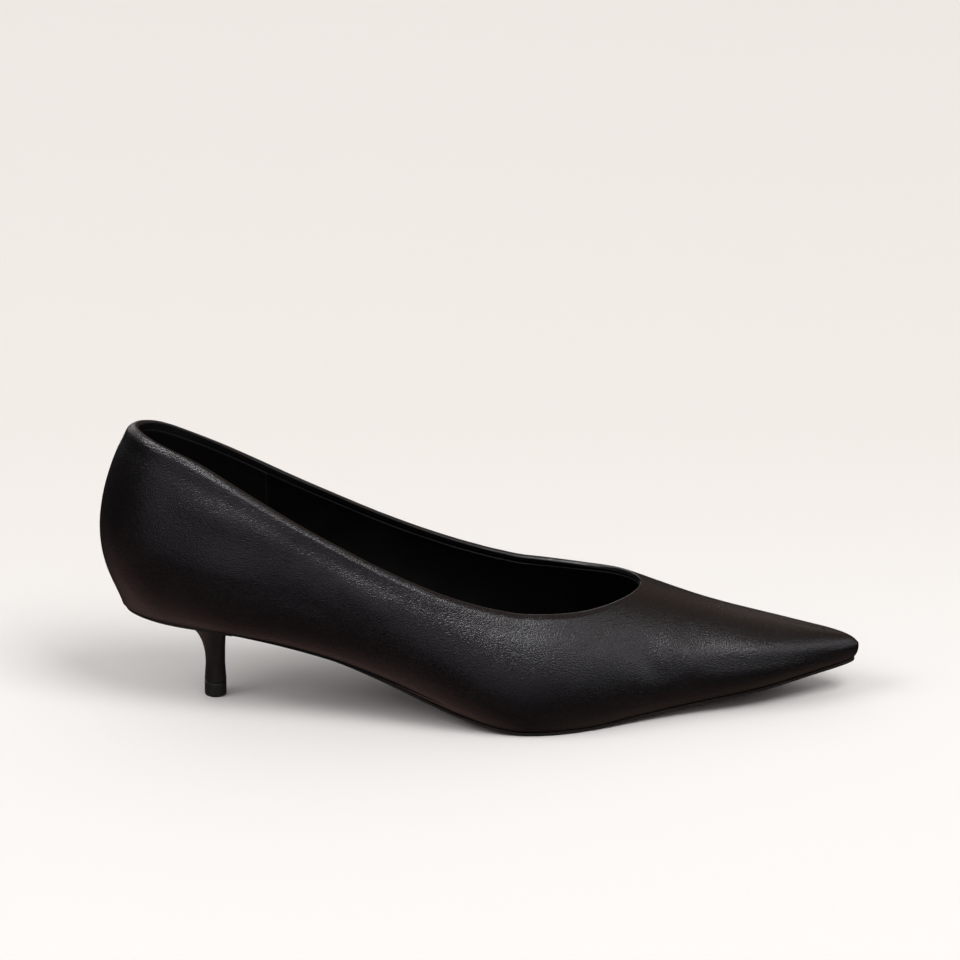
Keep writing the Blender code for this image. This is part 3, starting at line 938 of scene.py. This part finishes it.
@dataclass(frozen=True)
class Crease:
    """A soft trough or ridge in the leather, laid along points of the side view.

    The points are (x, z) in metres in the frame, on one side of the shoe. A negative height is a trough.
    """

    side: Side
    points: tuple[tuple[float, float], ...]
    height: float
    width: float

    def lift(self, places: np.ndarray, normals: np.ndarray) -> np.ndarray:
        """How far each point of the leather is raised.

        Args:
            places: The points.
            normals: Their normals.

        Returns:
            The lift along each normal, in metres.
        """
        flat = places[:, (0, 2)]
        nearest = np.full(len(flat), np.inf)
        share = np.zeros(len(flat))
        spots = np.array(self.points)
        lengths = np.linalg.norm(np.diff(spots, axis=0), axis=1)
        total, run = lengths.sum(), 0.0
        for start, end, length in zip(spots[:-1], spots[1:], lengths):
            s = np.clip(((flat - start) @ (end - start)) / length**2, 0, 1)
            gap = np.linalg.norm(flat - start - s[:, None] * (end - start), axis=1)
            closer = gap < nearest
            nearest = np.where(closer, gap, nearest)
            share = np.where(closer, (run + s * length) / total, share)
            run += length
        fade = np.sin(np.pi * np.clip(share, 0, 1)) ** 0.6
        facing = normals[:, 1] * self.side > 0.05
        return self.height * np.exp(-((nearest / self.width) ** 2)) * fade * facing


@dataclass(frozen=True)
class RolledEdge:
    """How the folded topline rolls in over the last millimetres of the wall, fading out towards the throat."""

    reach: float = 0.0018
    inwards: float = 0.0009
    down: float = 0.0002
    groove_at: float = 0.0062
    groove_width: float = 0.0024
    groove_depth: float = 0.00016
    lip_reach: float = 0.0070
    lip: float = 0.0008
    fade: float = 0.10

    def weight(self, columns: Columns) -> np.ndarray:
        """Strength of the roll at each column, for 3-D points in rows."""
        throat = columns.places[columns.throat]
        return (1 - eased(columns.places, throat - self.fade, throat))[:, None, None]

    def outside(self, rows: np.ndarray, profile: Profile, below: np.ndarray, columns: Columns) -> np.ndarray:
        """The outer face with its roll.

        Args:
            rows: Columns by rows of points.
            profile: The columns' profiles.
            below: Distance of each point below the topline.
            columns: The columns' places.

        Returns:
            The rows, moved.
        """
        share = (np.clip(1 - below / self.reach, 0, 1) ** 1.5)[..., None] * self.weight(columns)
        groove = np.exp(-(((below - self.groove_at) / self.groove_width) ** 2))[..., None] * self.weight(columns)
        inwards = share * self.inwards + groove * self.groove_depth
        return rows - profile.out[:, None] * inwards - UP * share * self.down

    def inside(self, rows: np.ndarray, profile: Profile, below: np.ndarray, columns: Columns) -> np.ndarray:
        """The inner face, which the roll pushes in.

        Args:
            rows: Columns by rows of points.
            profile: The columns' profiles.
            below: Distance of each point below the topline.
            columns: The columns' places.

        Returns:
            The rows, moved.
        """
        share = (np.clip(1 - below / self.lip_reach, 0, 1) ** 2)[..., None] * self.weight(columns)
        return rows - profile.out[:, None] * share * self.lip


@dataclass
class UpperLeather:
    """The outside of the upper: one skin drawn over the last and folded over at the topline."""

    columns: Columns
    leather: Leather = field(default_factory=Leather)
    roll: RolledEdge = field(default_factory=RolledEdge)
    skin: float = 0.0008
    cover: float = 0.0011
    cover_at_back: float = 0.45
    cover_span: tuple[float, float] = (0.004, 0.040)
    cover_reach: float = 0.011
    margin_share: float = 0.42
    margin_rows: int = 4
    wall_rows: int = 66
    wall_crowding: float = 1.5
    rim_rows: int = 12
    fold_rows: int = 4
    fold: float = 0.0026
    fold_at_throat: float = 0.0004
    crown_width: float = 0.007
    crown_depth: float = 0.005
    crown_start: float = 0.0015
    crown_passes: int = 24
    creases: tuple[Crease, ...] = (
        Crease(Side.OUTER, ((0.0545, 0.0310), (0.0571, 0.0251), (0.0596, 0.0207), (0.0645, 0.0150)), -0.00055, 0.0036),
        Crease(Side.OUTER, ((0.0640, 0.0310), (0.0690, 0.0245), (0.0760, 0.0180)), 0.00038, 0.0036),
        Crease(Side.OUTER, ((0.0400, 0.0300), (0.0470, 0.0230), (0.0540, 0.0150)), 0.00018, 0.0045),
        Crease(Side.OUTER, TOE_RIDGE, 0.00045, 0.0028),
        Crease(Side.INNER, TOE_RIDGE, 0.00030, 0.0028),
        Crease(Side.OUTER, ((0.0780, 0.0190), (0.0920, 0.0185), (0.1050, 0.0182), (0.1250, 0.0165)), -0.00030, 0.0028),
        Crease(Side.OUTER, ((-0.1060, 0.0813), (-0.0796, 0.0722), (-0.0640, 0.0650)), 0.00055, 0.0050),
        Crease(Side.OUTER, ((-0.0500, 0.0560), (-0.0420, 0.0500), (-0.0290, 0.0430)), 0.00048, 0.0045),
        Crease(Side.OUTER, ((-0.0640, 0.0700), (-0.0450, 0.0600), (-0.0200, 0.0495)), -0.00034, 0.0030),
        Crease(Side.OUTER, ((-0.0800, 0.0560), (-0.0640, 0.0500), (-0.0500, 0.0440)), -0.00038, 0.0050),
    )

    def rim(self, wall: np.ndarray, fold: np.ndarray) -> np.ndarray:
        """The folded edge, from the wall's last row over the top to the fold's first row.

        Args:
            wall: Columns by rows of the outer face, of one side.
            fold: Columns by rows of the fold inside.

        Returns:
            Columns by the rim's rows by 3.
        """
        first, last = wall[:, -1], fold[:, 0]
        span = np.linalg.norm(last - first, axis=1, keepdims=True)
        rising = first - wall[:, -2]
        rising /= np.linalg.norm(rising, axis=1, keepdims=True)
        inner = last - fold[:, 1]
        inner /= np.linalg.norm(inner, axis=1, keepdims=True)
        ahead = self.columns.ahead()[:, None]
        start = first + rising * span * (0.45 + 0.18 * ahead)
        end = last + inner * span * (0.36 + 0.27 * ahead)
        shares = np.arange(1, self.rim_rows) / self.rim_rows
        return np.stack([bezier((first, start, end, last), np.full(len(first), g)) for g in shares], 1)

    def side_points(self, side: Side) -> np.ndarray:
        """All the rows of one side: margin, wall, rim and fold.

        Args:
            side: The side of the foot.

        Returns:
            Columns by rows by 3.
        """
        last, places, throat = self.columns.last, self.columns.places, self.columns.throat
        wall, profile = last.wall_columns(places, side, throat)
        lengths = column_lengths(wall)
        share = 1 - (1 - np.linspace(0, 1, self.wall_rows + 1)) ** self.wall_crowding
        rows = along_columns(wall, lengths[:, None] * share)
        rows = self.roll.outside(rows, profile, lengths[:, None] * (1 - share), self.columns)
        low = np.clip(1 - lengths[:, None] * share / self.cover_reach, 0, 1) ** 2
        grown = (1 - self.cover_at_back) * eased(profile.feather[:, 0], *self.cover_span)
        rows[..., 2] -= (self.cover * (self.cover_at_back + grown))[:, None] * low
        margin = profile.feather + (profile.crown - profile.feather) * (1 - UP) * self.margin_share
        steps = np.linspace(0, 1, self.margin_rows + 1)[:-1, None, None]
        under = margin + (profile.feather - margin) * steps
        under[..., 2] = last.feather_height(under[..., 0])
        inside = last.moved_in(wall, profile, last.thickness(profile), throat)[:, ::-1]
        reach = self.fold + (self.fold_at_throat - self.fold) * self.columns.ahead()
        below = reach[:, None] * np.linspace(0, 1, self.fold_rows + 1)
        fold = self.roll.inside(along_columns(inside, below), profile, below, self.columns)
        return np.concatenate([under.transpose(1, 0, 2), rows, self.rim(rows, fold), fold], 1)

    def build(self) -> bpy.types.Object:
        """The finished piece."""
        outer, inner = (self.side_points(side) for side in Side)
        edge = self.margin_rows + self.wall_rows
        meeting = (self.columns.throat, slice(edge + 1, None))
        inner[meeting] = outer[meeting] = (inner[meeting] + outer[meeting]) / 2
        points = self.columns.last.in_frame(Columns.around(outer, inner))
        columns, rows = points.shape[0] - 1, points.shape[1] - 1
        sheet = Bench.flat_sheet("upper_leather", columns, rows)
        Bench.cut_away(sheet, self.columns.toe_span(), (edge, rows))
        Bench.mark(sheet, "fold", eased(np.arange(rows + 1), edge + self.rim_rows * 0.5, edge + self.rim_rows * 0.8))
        Bench.lay(sheet, points)
        Bench.sew(sheet)
        self.ease_crown(sheet)
        self.crease(sheet)
        Bench.modify(sheet, "SOLIDIFY", thickness=self.skin, offset=-1.0, use_even_offset=False)
        return Bench.finish(sheet, self.leather.material(), "leather", ["upper"], angle=50)

    def ease_crown(self, sheet: bpy.types.Object) -> None:
        """Smooths the line down the middle of the vamp, where the two sides meet."""
        last = self.columns.last
        t = self.columns.places[self.columns.throat + 2 :]
        crown = last.in_frame(last.profile(t, Side.INNER).crown)
        places = Bench.points(sheet)
        middle = np.interp(places[:, 0], crown[:, 0], crown[:, 1])
        height = np.interp(places[:, 0], crown[:, 0], crown[:, 2])
        near = np.abs(places[:, 1] - middle) < self.crown_width
        near &= places[:, 0] > crown[0, 0] + self.crown_start
        near &= np.abs(places[:, 2] - height) < self.crown_depth
        Bench.smoothed(sheet, near, self.crown_passes)

    def crease(self, sheet: bpy.types.Object) -> None:
        """Presses the creases into the leather."""
        places, normals = Bench.points(sheet), Bench.normals(sheet)
        lift = sum(crease.lift(places, normals) for crease in self.creases)
        sheet.data.vertices.foreach_set("co", (places + normals * lift[:, None]).ravel())
        sheet.data.update()


@dataclass
class Lining:
    """The lining skin: from below the sock to its trimmed edge under the fold of the topline."""

    columns: Columns
    skin: LiningSkin = field(default_factory=LiningSkin)
    roll: RolledEdge = field(default_factory=RolledEdge)
    proud: float = 0.00035
    thickness: float = 0.0006
    rows: int = 46
    start: float = 0.0022
    fold: float = 0.0025
    fold_at_throat: float = 0.0004
    seam_at: float = 0.0578
    seam_width: float = 0.0007
    seam_height: float = 0.00055
    grip_height: float = 0.00020
    grip_span: tuple[float, float] = (0.0006, 0.0003)
    edge_share: float = 0.965
    edge_thinning: float = 0.35
    edge_round: float = 0.00018

    def side_points(self, side: Side) -> np.ndarray:
        """Rows of one side, from the insole board to the trimmed edge.

        Args:
            side: The side of the foot.

        Returns:
            Columns by rows by 3.
        """
        last, places, throat = self.columns.last, self.columns.places, self.columns.throat
        wall, profile = last.wall_columns(places, side, throat)
        depth = last.thickness(profile) + self.proud
        inside = last.moved_in(wall, profile, depth, throat)
        lengths = column_lengths(inside)
        ahead = self.columns.ahead()
        stop = lengths - (self.fold * (1 - ahead) + self.fold_at_throat * ahead)
        stop[throat:] = lengths[throat:]
        share = np.linspace(0, 1, self.rows + 1)
        up = self.start + (stop - self.start)[:, None] * share
        made = along_columns(inside, up)
        made = self.roll.inside(made, profile, lengths[:, None] - up, self.columns)
        x = made[..., 0]
        seam = self.seam_height * np.exp(-(((x - self.seam_at) / self.seam_width) ** 2))
        before, after = self.grip_span
        grip = self.grip_height * (1 - eased(x, self.seam_at - before, self.seam_at + after))
        edge = 1 - eased(share, self.edge_share, 1.0)[None] * self.edge_thinning
        return made - profile.out[:, None] * ((seam + grip) * edge)[..., None]

    def build(self) -> bpy.types.Object:
        """The finished piece."""
        points = Columns.around(*(self.side_points(side) for side in Side))
        sheet = Bench.drawn_over("lining", self.columns.last.in_frame(points))
        Bench.modify(sheet, "SOLIDIFY", thickness=self.thickness, offset=-1.0, use_even_offset=False)
        Bench.modify(sheet, "BEVEL", width=self.edge_round, segments=2, limit_method="ANGLE",
                     angle_limit=math.radians(60), use_clamp_overlap=True)
        return Bench.finish(sheet, self.skin.material(), "sock", [], angle=60)


@dataclass
class Sock:
    """The sock over the insole board, turned up a little where it meets the lining."""

    columns: Columns
    skin: LiningSkin = field(default_factory=lambda: LiningSkin(name="black sock", seam_at=None, roughness=0.58))
    board: float = 0.0022
    gap: float = 0.0003
    cross_rows: int = 30
    turned_up: float = 0.0006
    turned_reach: float = 0.0016
    hollow: float = 0.0005
    hollow_reach: float = 0.010
    hollow_span: float = 0.04
    thickness_share: float = 0.8

    def build(self) -> bpy.types.Object:
        """The finished piece."""
        last, places, throat = self.columns.last, self.columns.places[1:-1], self.columns.throat
        tops = []
        for side in Side:
            wall, profile = last.wall_columns(self.columns.places, side, throat)
            near = last.moved_in(wall, profile, last.thickness(profile) + self.gap, throat)[1:-1]
            height = near[:, 0, 2] + self.board
            top = np.empty((len(places), 3))
            for c, column in enumerate(near):
                rising = column[:120]
                top[c] = [np.interp(height[c], rising[:, 2], rising[:, k]) for k in range(3)]
            tops.append(top)
        share = np.linspace(0, 1, self.cross_rows + 1)
        share = 0.5 - 0.5 * np.cos(np.pi * share)
        points = tops[0][:, None] + (tops[1] - tops[0])[:, None] * share[:, None]
        span = np.linalg.norm((tops[1] - tops[0]), axis=1)
        edge = np.minimum(share, 1 - share)[None] * span[:, None]
        points[..., 2] = last.feather_height(points[..., 0]) + self.board
        points[..., 2] += self.turned_up * np.exp(-edge / self.turned_reach)
        broad = np.clip(span / self.hollow_span, 0, 1)[:, None]
        points[..., 2] -= self.hollow * (1 - np.exp(-edge / self.hollow_reach)) * broad
        sheet = Bench.drawn_over("sock", last.in_frame(points))
        if sum(face.normal.z for face in sheet.data.polygons) < 0:
            sheet.data.flip_normals()
        thickness = self.board * self.thickness_share
        Bench.modify(sheet, "SOLIDIFY", thickness=thickness, offset=-1.0, use_even_offset=False)
        return Bench.finish(sheet, self.skin.material(), "sock", ["insole"], angle=50)


@dataclass
class Sole:
    """The outsole from the heel's breast to the toe, with a rounded edge, tucked in under the waist."""

    columns: Columns
    leather: SoleLeather = field(default_factory=SoleLeather)
    thickness: float = 0.0013
    thinning: float = 0.0004
    gap: float = 0.0013
    welt: float = 0.0002
    tuck: float = 0.0009
    edge_round: float = 0.0005
    edge_steps: int = 5
    waist_span: tuple[float, float] = (0.25, 0.45)
    heel_length: float = 0.0462
    heel_gap: float = -0.0005
    cross_rows: int = 20

    def ball(self, x: np.ndarray) -> np.ndarray:
        """0 under the waist and 1 from the ball on, x metres from the back of the shoe."""
        length = self.columns.last.length
        return eased(x, self.waist_span[0] * length, self.waist_span[1] * length)

    def depth(self, ball: np.ndarray) -> np.ndarray:
        """Thickness of the sole, which is less under the waist."""
        return self.thickness - self.thinning * (1 - ball)

    def build(self) -> bpy.types.Object:
        """The finished piece."""
        last = self.columns.last
        breast = last.place_at(self.heel_length + self.heel_gap)
        t = np.concatenate([[breast], self.columns.places[self.columns.places > breast + 0.002][:-1]])
        levels = []
        rounds = np.linspace(0, math.pi / 2, self.edge_steps)
        drops = [0.0] + [1.0 - self.edge_round / self.thickness * (1 - math.sin(a)) for a in rounds]
        insets = [0.0] + [self.edge_round * (1 - math.cos(a)) for a in rounds]
        for drop, inset in zip(drops, insets):
            sides = []
            for side in Side:
                profile = last.profile(t, side)
                ball = self.ball(profile.feather[:, 0])
                reach = self.welt * ball - self.tuck * (1 - ball) - inset
                edge = profile.feather + profile.out * reach[:, None]
                edge[0, 0] = self.heel_length + self.heel_gap
                edge[:, 2] = last.feather_height(edge[:, 0]) - self.gap - self.depth(ball) * drop
                sides.append(edge)
            levels.append(sides)
        share = (0.5 - 0.5 * np.cos(np.pi * np.linspace(0, 1, self.cross_rows + 1)))[:, None]
        outer, inner = levels[0]
        rows = [outer + (inner - outer) * s for s in share[::-1]]
        rows += [level[0] for level in levels[1:]]
        outer, inner = levels[-1]
        rows += [outer + (inner - outer) * s for s in share[1:]]
        rows += [level[1] for level in levels[-2::-1]]
        points = last.in_frame(np.stack(rows, 1))
        top = slice(0, self.cross_rows + 1)
        bottom = slice(self.cross_rows + len(levels), 1 - len(levels))
        for block, lowered in ((top, 0), (bottom, 1)):
            x = points[:, block, 0] - last.back
            points[:, block, 2] = last.feather_height(x) - self.gap - self.depth(self.ball(x)) * lowered
        sheet = Bench.drawn_over("sole", points)
        Bench.close_holes(sheet)
        return Bench.finish(sheet, self.leather.material(), "sole", ["outsole"], angle=40)


@dataclass
class Heel:
    """The covered kitten heel: a seat under the upper that flares out of a slim round stem."""

    columns: Columns
    leather: Leather = field(default_factory=lambda: Leather(
        name="heel cover", deep=(0.0085, 0.0062, 0.0056), worn=(0.0115, 0.0085, 0.0076), roughness=0.40, spread=0.05))
    rubber: MouldedRubber = field(default_factory=MouldedRubber)
    length: float = 0.0462
    seat_tuck: float = 0.0004
    back_tuck: float = 0.0010
    back_reach: float = 0.030
    seat_edge: float = 0.0018
    # how far in from the seat's edge and down from its top the rings over its rounded corner lie
    seat_corner: tuple[tuple[float, float], ...] = ((0.00012, 0.00004), (0.0, 0.00022))
    stem_radius: float = 0.0034
    foot_radius: float = 0.0038
    flare_height: float = 0.0185
    flare_reach: float = 0.35
    flare_neck: float = 0.0029
    stem_end: tuple[float, float] = (0.00014, 0.00018)
    tip_height: float = 0.0052
    tip_inset: float = 0.0009
    tip_round: float = 0.00042
    gap: float = 0.0003
    points_round: int = 128
    front_crowding: float = 0.45

    def seat_radius(self, angles: np.ndarray) -> np.ndarray:
        """Distance from the stem's axis to the edge of the seat, in each direction."""
        last = self.columns.last
        t = np.linspace(0, last.place_at(self.length), 240)
        edges = []
        for side in Side:
            profile = last.profile(t, side)
            tuck = self.seat_tuck + self.back_tuck * (1 - eased(profile.feather[:, :1], 0.0, self.back_reach))
            edges.append((profile.feather - profile.out * tuck)[:, :2])
            edges[-1][:, 0] = np.minimum(edges[-1][:, 0], self.length)
        across = np.linspace(edges[0][-1], edges[1][-1], 60)[1:-1]
        loop = np.concatenate([edges[0], across, edges[1][:0:-1]]) - (last.stem_back, 0.0)
        around = np.unwrap(np.arctan2(loop[:, 1], loop[:, 0])) % (2 * math.pi)
        order = np.argsort(around)
        return np.interp(angles % (2 * math.pi), around[order], np.linalg.norm(loop, axis=1)[order],
                         period=2 * math.pi)

    def rings(self) -> np.ndarray:
        """The heel's outside, ring by ring from the seat's middle to the foot of the stem.

        Returns:
            Points round each ring by rings by 3.
        """
        last = self.columns.last
        turn = np.arange(self.points_round + 1) / self.points_round * 2 * math.pi
        angles = math.pi + turn - self.front_crowding * np.sin(turn)
        ways = np.stack([np.cos(angles), np.sin(angles), 0 * angles], 1)
        axis = np.array([last.stem_back, 0.0, 0.0])
        edge = self.seat_radius(angles)

        def ring(radius: np.ndarray, drop: float) -> np.ndarray:
            """A ring along the bottom of the upper, lowered by a drop."""
            made = axis + ways * np.asarray(radius)[..., None]
            made[:, 2] = last.feather_height(made[:, 0]) - self.gap - drop
            return made

        rings = [ring(edge * s, 0.0) for s in np.linspace(0.12, 0.985, 7)]
        rings += [ring(edge - inset, drop) for inset, drop in self.seat_corner] + [ring(edge, self.seat_edge * 0.7)]
        neck = float(last.feather_height(np.array(last.stem_back))) - self.gap - self.flare_neck
        start = ring(edge, self.seat_edge)
        second = ring(self.stem_radius + (edge - self.stem_radius) * self.flare_reach, self.seat_edge)
        stem = axis + ways * self.stem_radius
        third, foot = stem + UP * neck, stem + UP * (neck - self.flare_height + self.flare_neck)
        for g in np.linspace(0, 1, 30):
            rings.append(bezier((start, second, third, foot), np.full(len(angles), g)))
        for s in np.linspace(0, 1, 9)[1:]:
            radius = self.stem_radius + (self.foot_radius - self.stem_radius) * s
            height = foot[0, 2] + (self.tip_height + self.gap - foot[0, 2]) * s
            rings.append(axis + ways * radius + UP * height)
        inset, drop = self.stem_end
        rings[-1] = rings[-1] + UP * drop
        rings.append(rings[-1] - ways * inset - UP * drop)
        return np.stack(rings, 1)

    def build(self) -> list[bpy.types.Object]:
        """The heel and its top piece."""
        points = self.columns.last.in_frame(self.rings())
        points[-1] = points[0]
        cover = Bench.drawn_over("heel_cover", points)
        Bench.close_holes(cover)
        Bench.finish(cover, self.leather.material(), "heel", ["heel"], angle=35)
        return [cover, self.top_piece()]

    def top_piece(self) -> bpy.types.Object:
        """The hard-wearing block under the stem, its edges eased and its face set in from the cover."""
        last = self.columns.last
        Bench.clear()
        place = (last.back + last.stem_back, last.centre, self.tip_height / 2)
        bpy.ops.mesh.primitive_cylinder_add(vertices=96, radius=self.foot_radius, depth=self.tip_height, location=place)
        tip = bpy.context.object
        tip.name = tip.data.name = "top_piece"
        bpy.ops.object.transform_apply(location=True, rotation=True, scale=True)
        ends = [abs(face.normal.z) > 0.9 for face in tip.data.polygons]
        with Bench.editing(tip):
            Bench.choose(tip, "FACE", ends)
            bpy.ops.mesh.inset(thickness=self.tip_inset, depth=0.0)
        Bench.modify(tip, "BEVEL", width=self.tip_round, segments=4, limit_method="ANGLE",
                     angle_limit=math.radians(60))
        return Bench.finish(tip, self.rubber.material(), "top_piece", ["heel_tip"], angle=35)


class SoftLight(NamedTuple):
    """A soft area light, placed by its bearing from the shoe."""

    name: str
    bearing: float
    elevation: float
    distance: float
    size: tuple[float, float]
    radiance: float
    tint: tuple[float, float, float]


class Glow(NamedTuple):
    """A soft-edged panel of light in the dark room, seen from the shoe: its half sizes and edge in degrees."""

    bearing: float
    elevation: float
    wide: float
    high: float
    soft: float
    light: tuple[float, float, float]


@dataclass
class Studio:
    """Floor, light and camera of the photograph. A bearing is 0 towards the camera and 90 towards the toe."""

    elevation: float = 24.0
    distance: float = 5.0
    view_width: float = 0.33245
    target: tuple[float, float, float] = (0.0, 0.001, 0.0813)
    # floor colours: painted shade, darker towards the back where a backdrop would be less lit
    near_floor: tuple[float, float, float] = (0.872, 0.850, 0.833)
    far_floor_painted_shade: tuple[float, float, float] = (0.808, 0.773, 0.740)
    floor_shade_span: tuple[float, float] = (-0.06, 0.26)
    lights: tuple[SoftLight, ...] = (
        SoftLight("key", 45.0, 60.0, 5.10, (2.40, 2.40), 7.1, (1.0, 0.99, 0.985)),
        SoftLight("side", -75.0, 42.0, 5.10, (2.40, 2.40), 4.6, (1.0, 0.99, 0.985)),
        SoftLight("ceiling", 0.0, 90.0, 3.00, (16.0, 16.0), 0.58, (1.0, 0.99, 0.985)),
    )
    glows: tuple[Glow, ...] = (
        Glow(67.0, 29.0, 27.0, 16.0, 7.0, (1.68, 1.61, 1.71)),
        Glow(-6.0, 12.0, 17.0, 13.0, 8.0, (1.20, 1.06, 1.20)),
        Glow(-18.0, 65.0, 24.0, 8.0, 3.0, (16.5, 16.1, 16.5)),
        Glow(150.0, 40.0, 55.0, 25.0, 14.0, (0.30, 0.20, 0.13)),
        Glow(-140.0, 42.0, 26.0, 22.0, 8.0, (1.60, 1.54, 1.60)),
        Glow(-160.0, 22.0, 22.0, 14.0, 9.0, (1.30, 1.25, 1.30)),
        Glow(-100.0, -58.0, 34.0, 22.0, 10.0, (0.33, 0.205, 0.17)),
        Glow(75.0, -62.0, 30.0, 18.0, 10.0, (0.25, 0.17, 0.13)),
    )
    room: tuple[float, float, float] = (0.012, 0.011, 0.013)

    @staticmethod
    def way(bearing: float, elevation: float) -> Vector:
        """The direction with a bearing and an elevation in degrees."""
        a, e = math.radians(bearing), math.radians(elevation)
        return Vector((math.sin(a) * math.cos(e), -math.cos(a) * math.cos(e), math.sin(e)))

    def camera(self) -> None:
        """The camera at the photograph's angle, far enough away for nearly parallel lines."""
        data = bpy.data.cameras.new("camera")
        camera = bpy.data.objects.new("camera", data)
        bpy.context.scene.collection.objects.link(camera)
        camera.location = Vector(self.target) + self.way(0.0, self.elevation) * self.distance
        camera.rotation_euler = (math.pi / 2 - math.radians(self.elevation), 0.0, 0.0)
        data.sensor_width = 36.0
        data.lens = 36.0 * self.distance / self.view_width
        data.clip_end = 100.0
        bpy.context.scene.camera = camera

    def floor(self) -> None:
        """A wide plain floor with painted shade: its colour darkens towards the back in place of a less lit backdrop;
        kept out of the leather's reflections.
        """
        Bench.clear()
        bpy.ops.mesh.primitive_plane_add(size=24.0, location=(0.0, 0.0, 0.0))
        floor = bpy.context.object
        floor.name = floor.data.name = "studio_floor"
        sheet = MaterialSheet("studio floor")
        # painted shade: the floor's colour darkens from near to far along Y
        colour = sheet.mixed(sheet.along("Y").smooth(*self.floor_shade_span), self.near_floor, self.far_floor_painted_shade)
        sheet.set(Base_Color=colour, Roughness=0.85, Specular_IOR_Level=0.1)
        floor.data.materials.append(sheet.material)
        floor.visible_glossy = False

    def hang(self, soft: SoftLight) -> None:
        """Hangs one area light, facing the shoe."""
        data = bpy.data.lights.new(soft.name, "AREA")
        data.shape = "RECTANGLE"
        data.size, data.size_y = soft.size
        data.energy = soft.radiance * math.pi * soft.size[0] * soft.size[1]
        data.color = soft.tint
        light = bpy.data.objects.new(soft.name, data)
        way = self.way(soft.bearing, soft.elevation)
        light.location = Vector((0.0, 0.0, 0.03)) + way * soft.distance
        light.rotation_euler = way.to_track_quat("Z", "Y").to_euler()
        light.visible_camera = light.visible_glossy = False
        bpy.context.scene.collection.objects.link(light)

    @staticmethod
    def panel(sheet: NodeSheet, spot: Wire, glow: Glow) -> Wire:
        """Share of a panel's light in each direction.

        Args:
            sheet: The world's nodes.
            spot: The direction.
            glow: The panel.

        Returns:
            1 inside the panel, 0 outside it, smooth across its edge.
        """

        def along(axis: Vector) -> Wire:
            """The direction's part along an axis."""
            return sheet.node("ShaderNodeVectorMath", {"operation": "DOT_PRODUCT"}, {0: spot, 1: axis}, "Value")

        middle = Studio.way(glow.bearing, glow.elevation)
        side = Studio.way(glow.bearing + 90.0, 0.0)
        share = along(middle).smooth(0.0, 0.15)
        for axis, half in ((side, glow.wide), (side.cross(middle), glow.high)):
            edges = (math.sin(math.radians(half - glow.soft)), math.sin(math.radians(half + glow.soft)))
            share = share * (1 - along(axis).size().smooth(*edges))
        return share

    def world(self) -> None:
        """A dark room with a few soft panels of light, which the leather shows as sheen."""
        world = bpy.data.worlds.new("studio")
        world.use_nodes = True
        sheet = NodeSheet(world.node_tree)
        spot = sheet.node("ShaderNodeTexCoord", {}, {}, "Generated")
        total: Wire | tuple[float, float, float] = self.room
        for glow in self.glows:
            share = self.panel(sheet, spot, glow)
            light = sheet.node("ShaderNodeVectorMath", {"operation": "SCALE"}, {0: glow.light, "Scale": share})
            total = sheet.node("ShaderNodeVectorMath", {"operation": "ADD"}, {0: light, 1: total})
        sheet.tree.links.new(total.socket, sheet.tree.nodes["Background"].inputs["Color"])
        bpy.context.scene.world = world
        world.cycles_visibility.diffuse = False

    def build(self) -> None:
        """Sets everything up."""
        self.camera()
        self.floor()
        for soft in self.lights:
            self.hang(soft)
        self.world()
        view = bpy.context.scene.view_settings
        view.view_transform = "Standard"
        view.look = "None"


def main() -> None:
    """Builds the shoe piece by piece, then the studio round it."""
    logging.basicConfig(level=logging.INFO, format="%(name)s %(message)s")
    columns = Columns(Last())
    UpperLeather(columns).build()
    Lining(columns).build()
    Sock(columns).build()
    Sole(columns).build()
    Heel(columns).build()
    Studio().build()


if __name__ == "__main__":
    main()
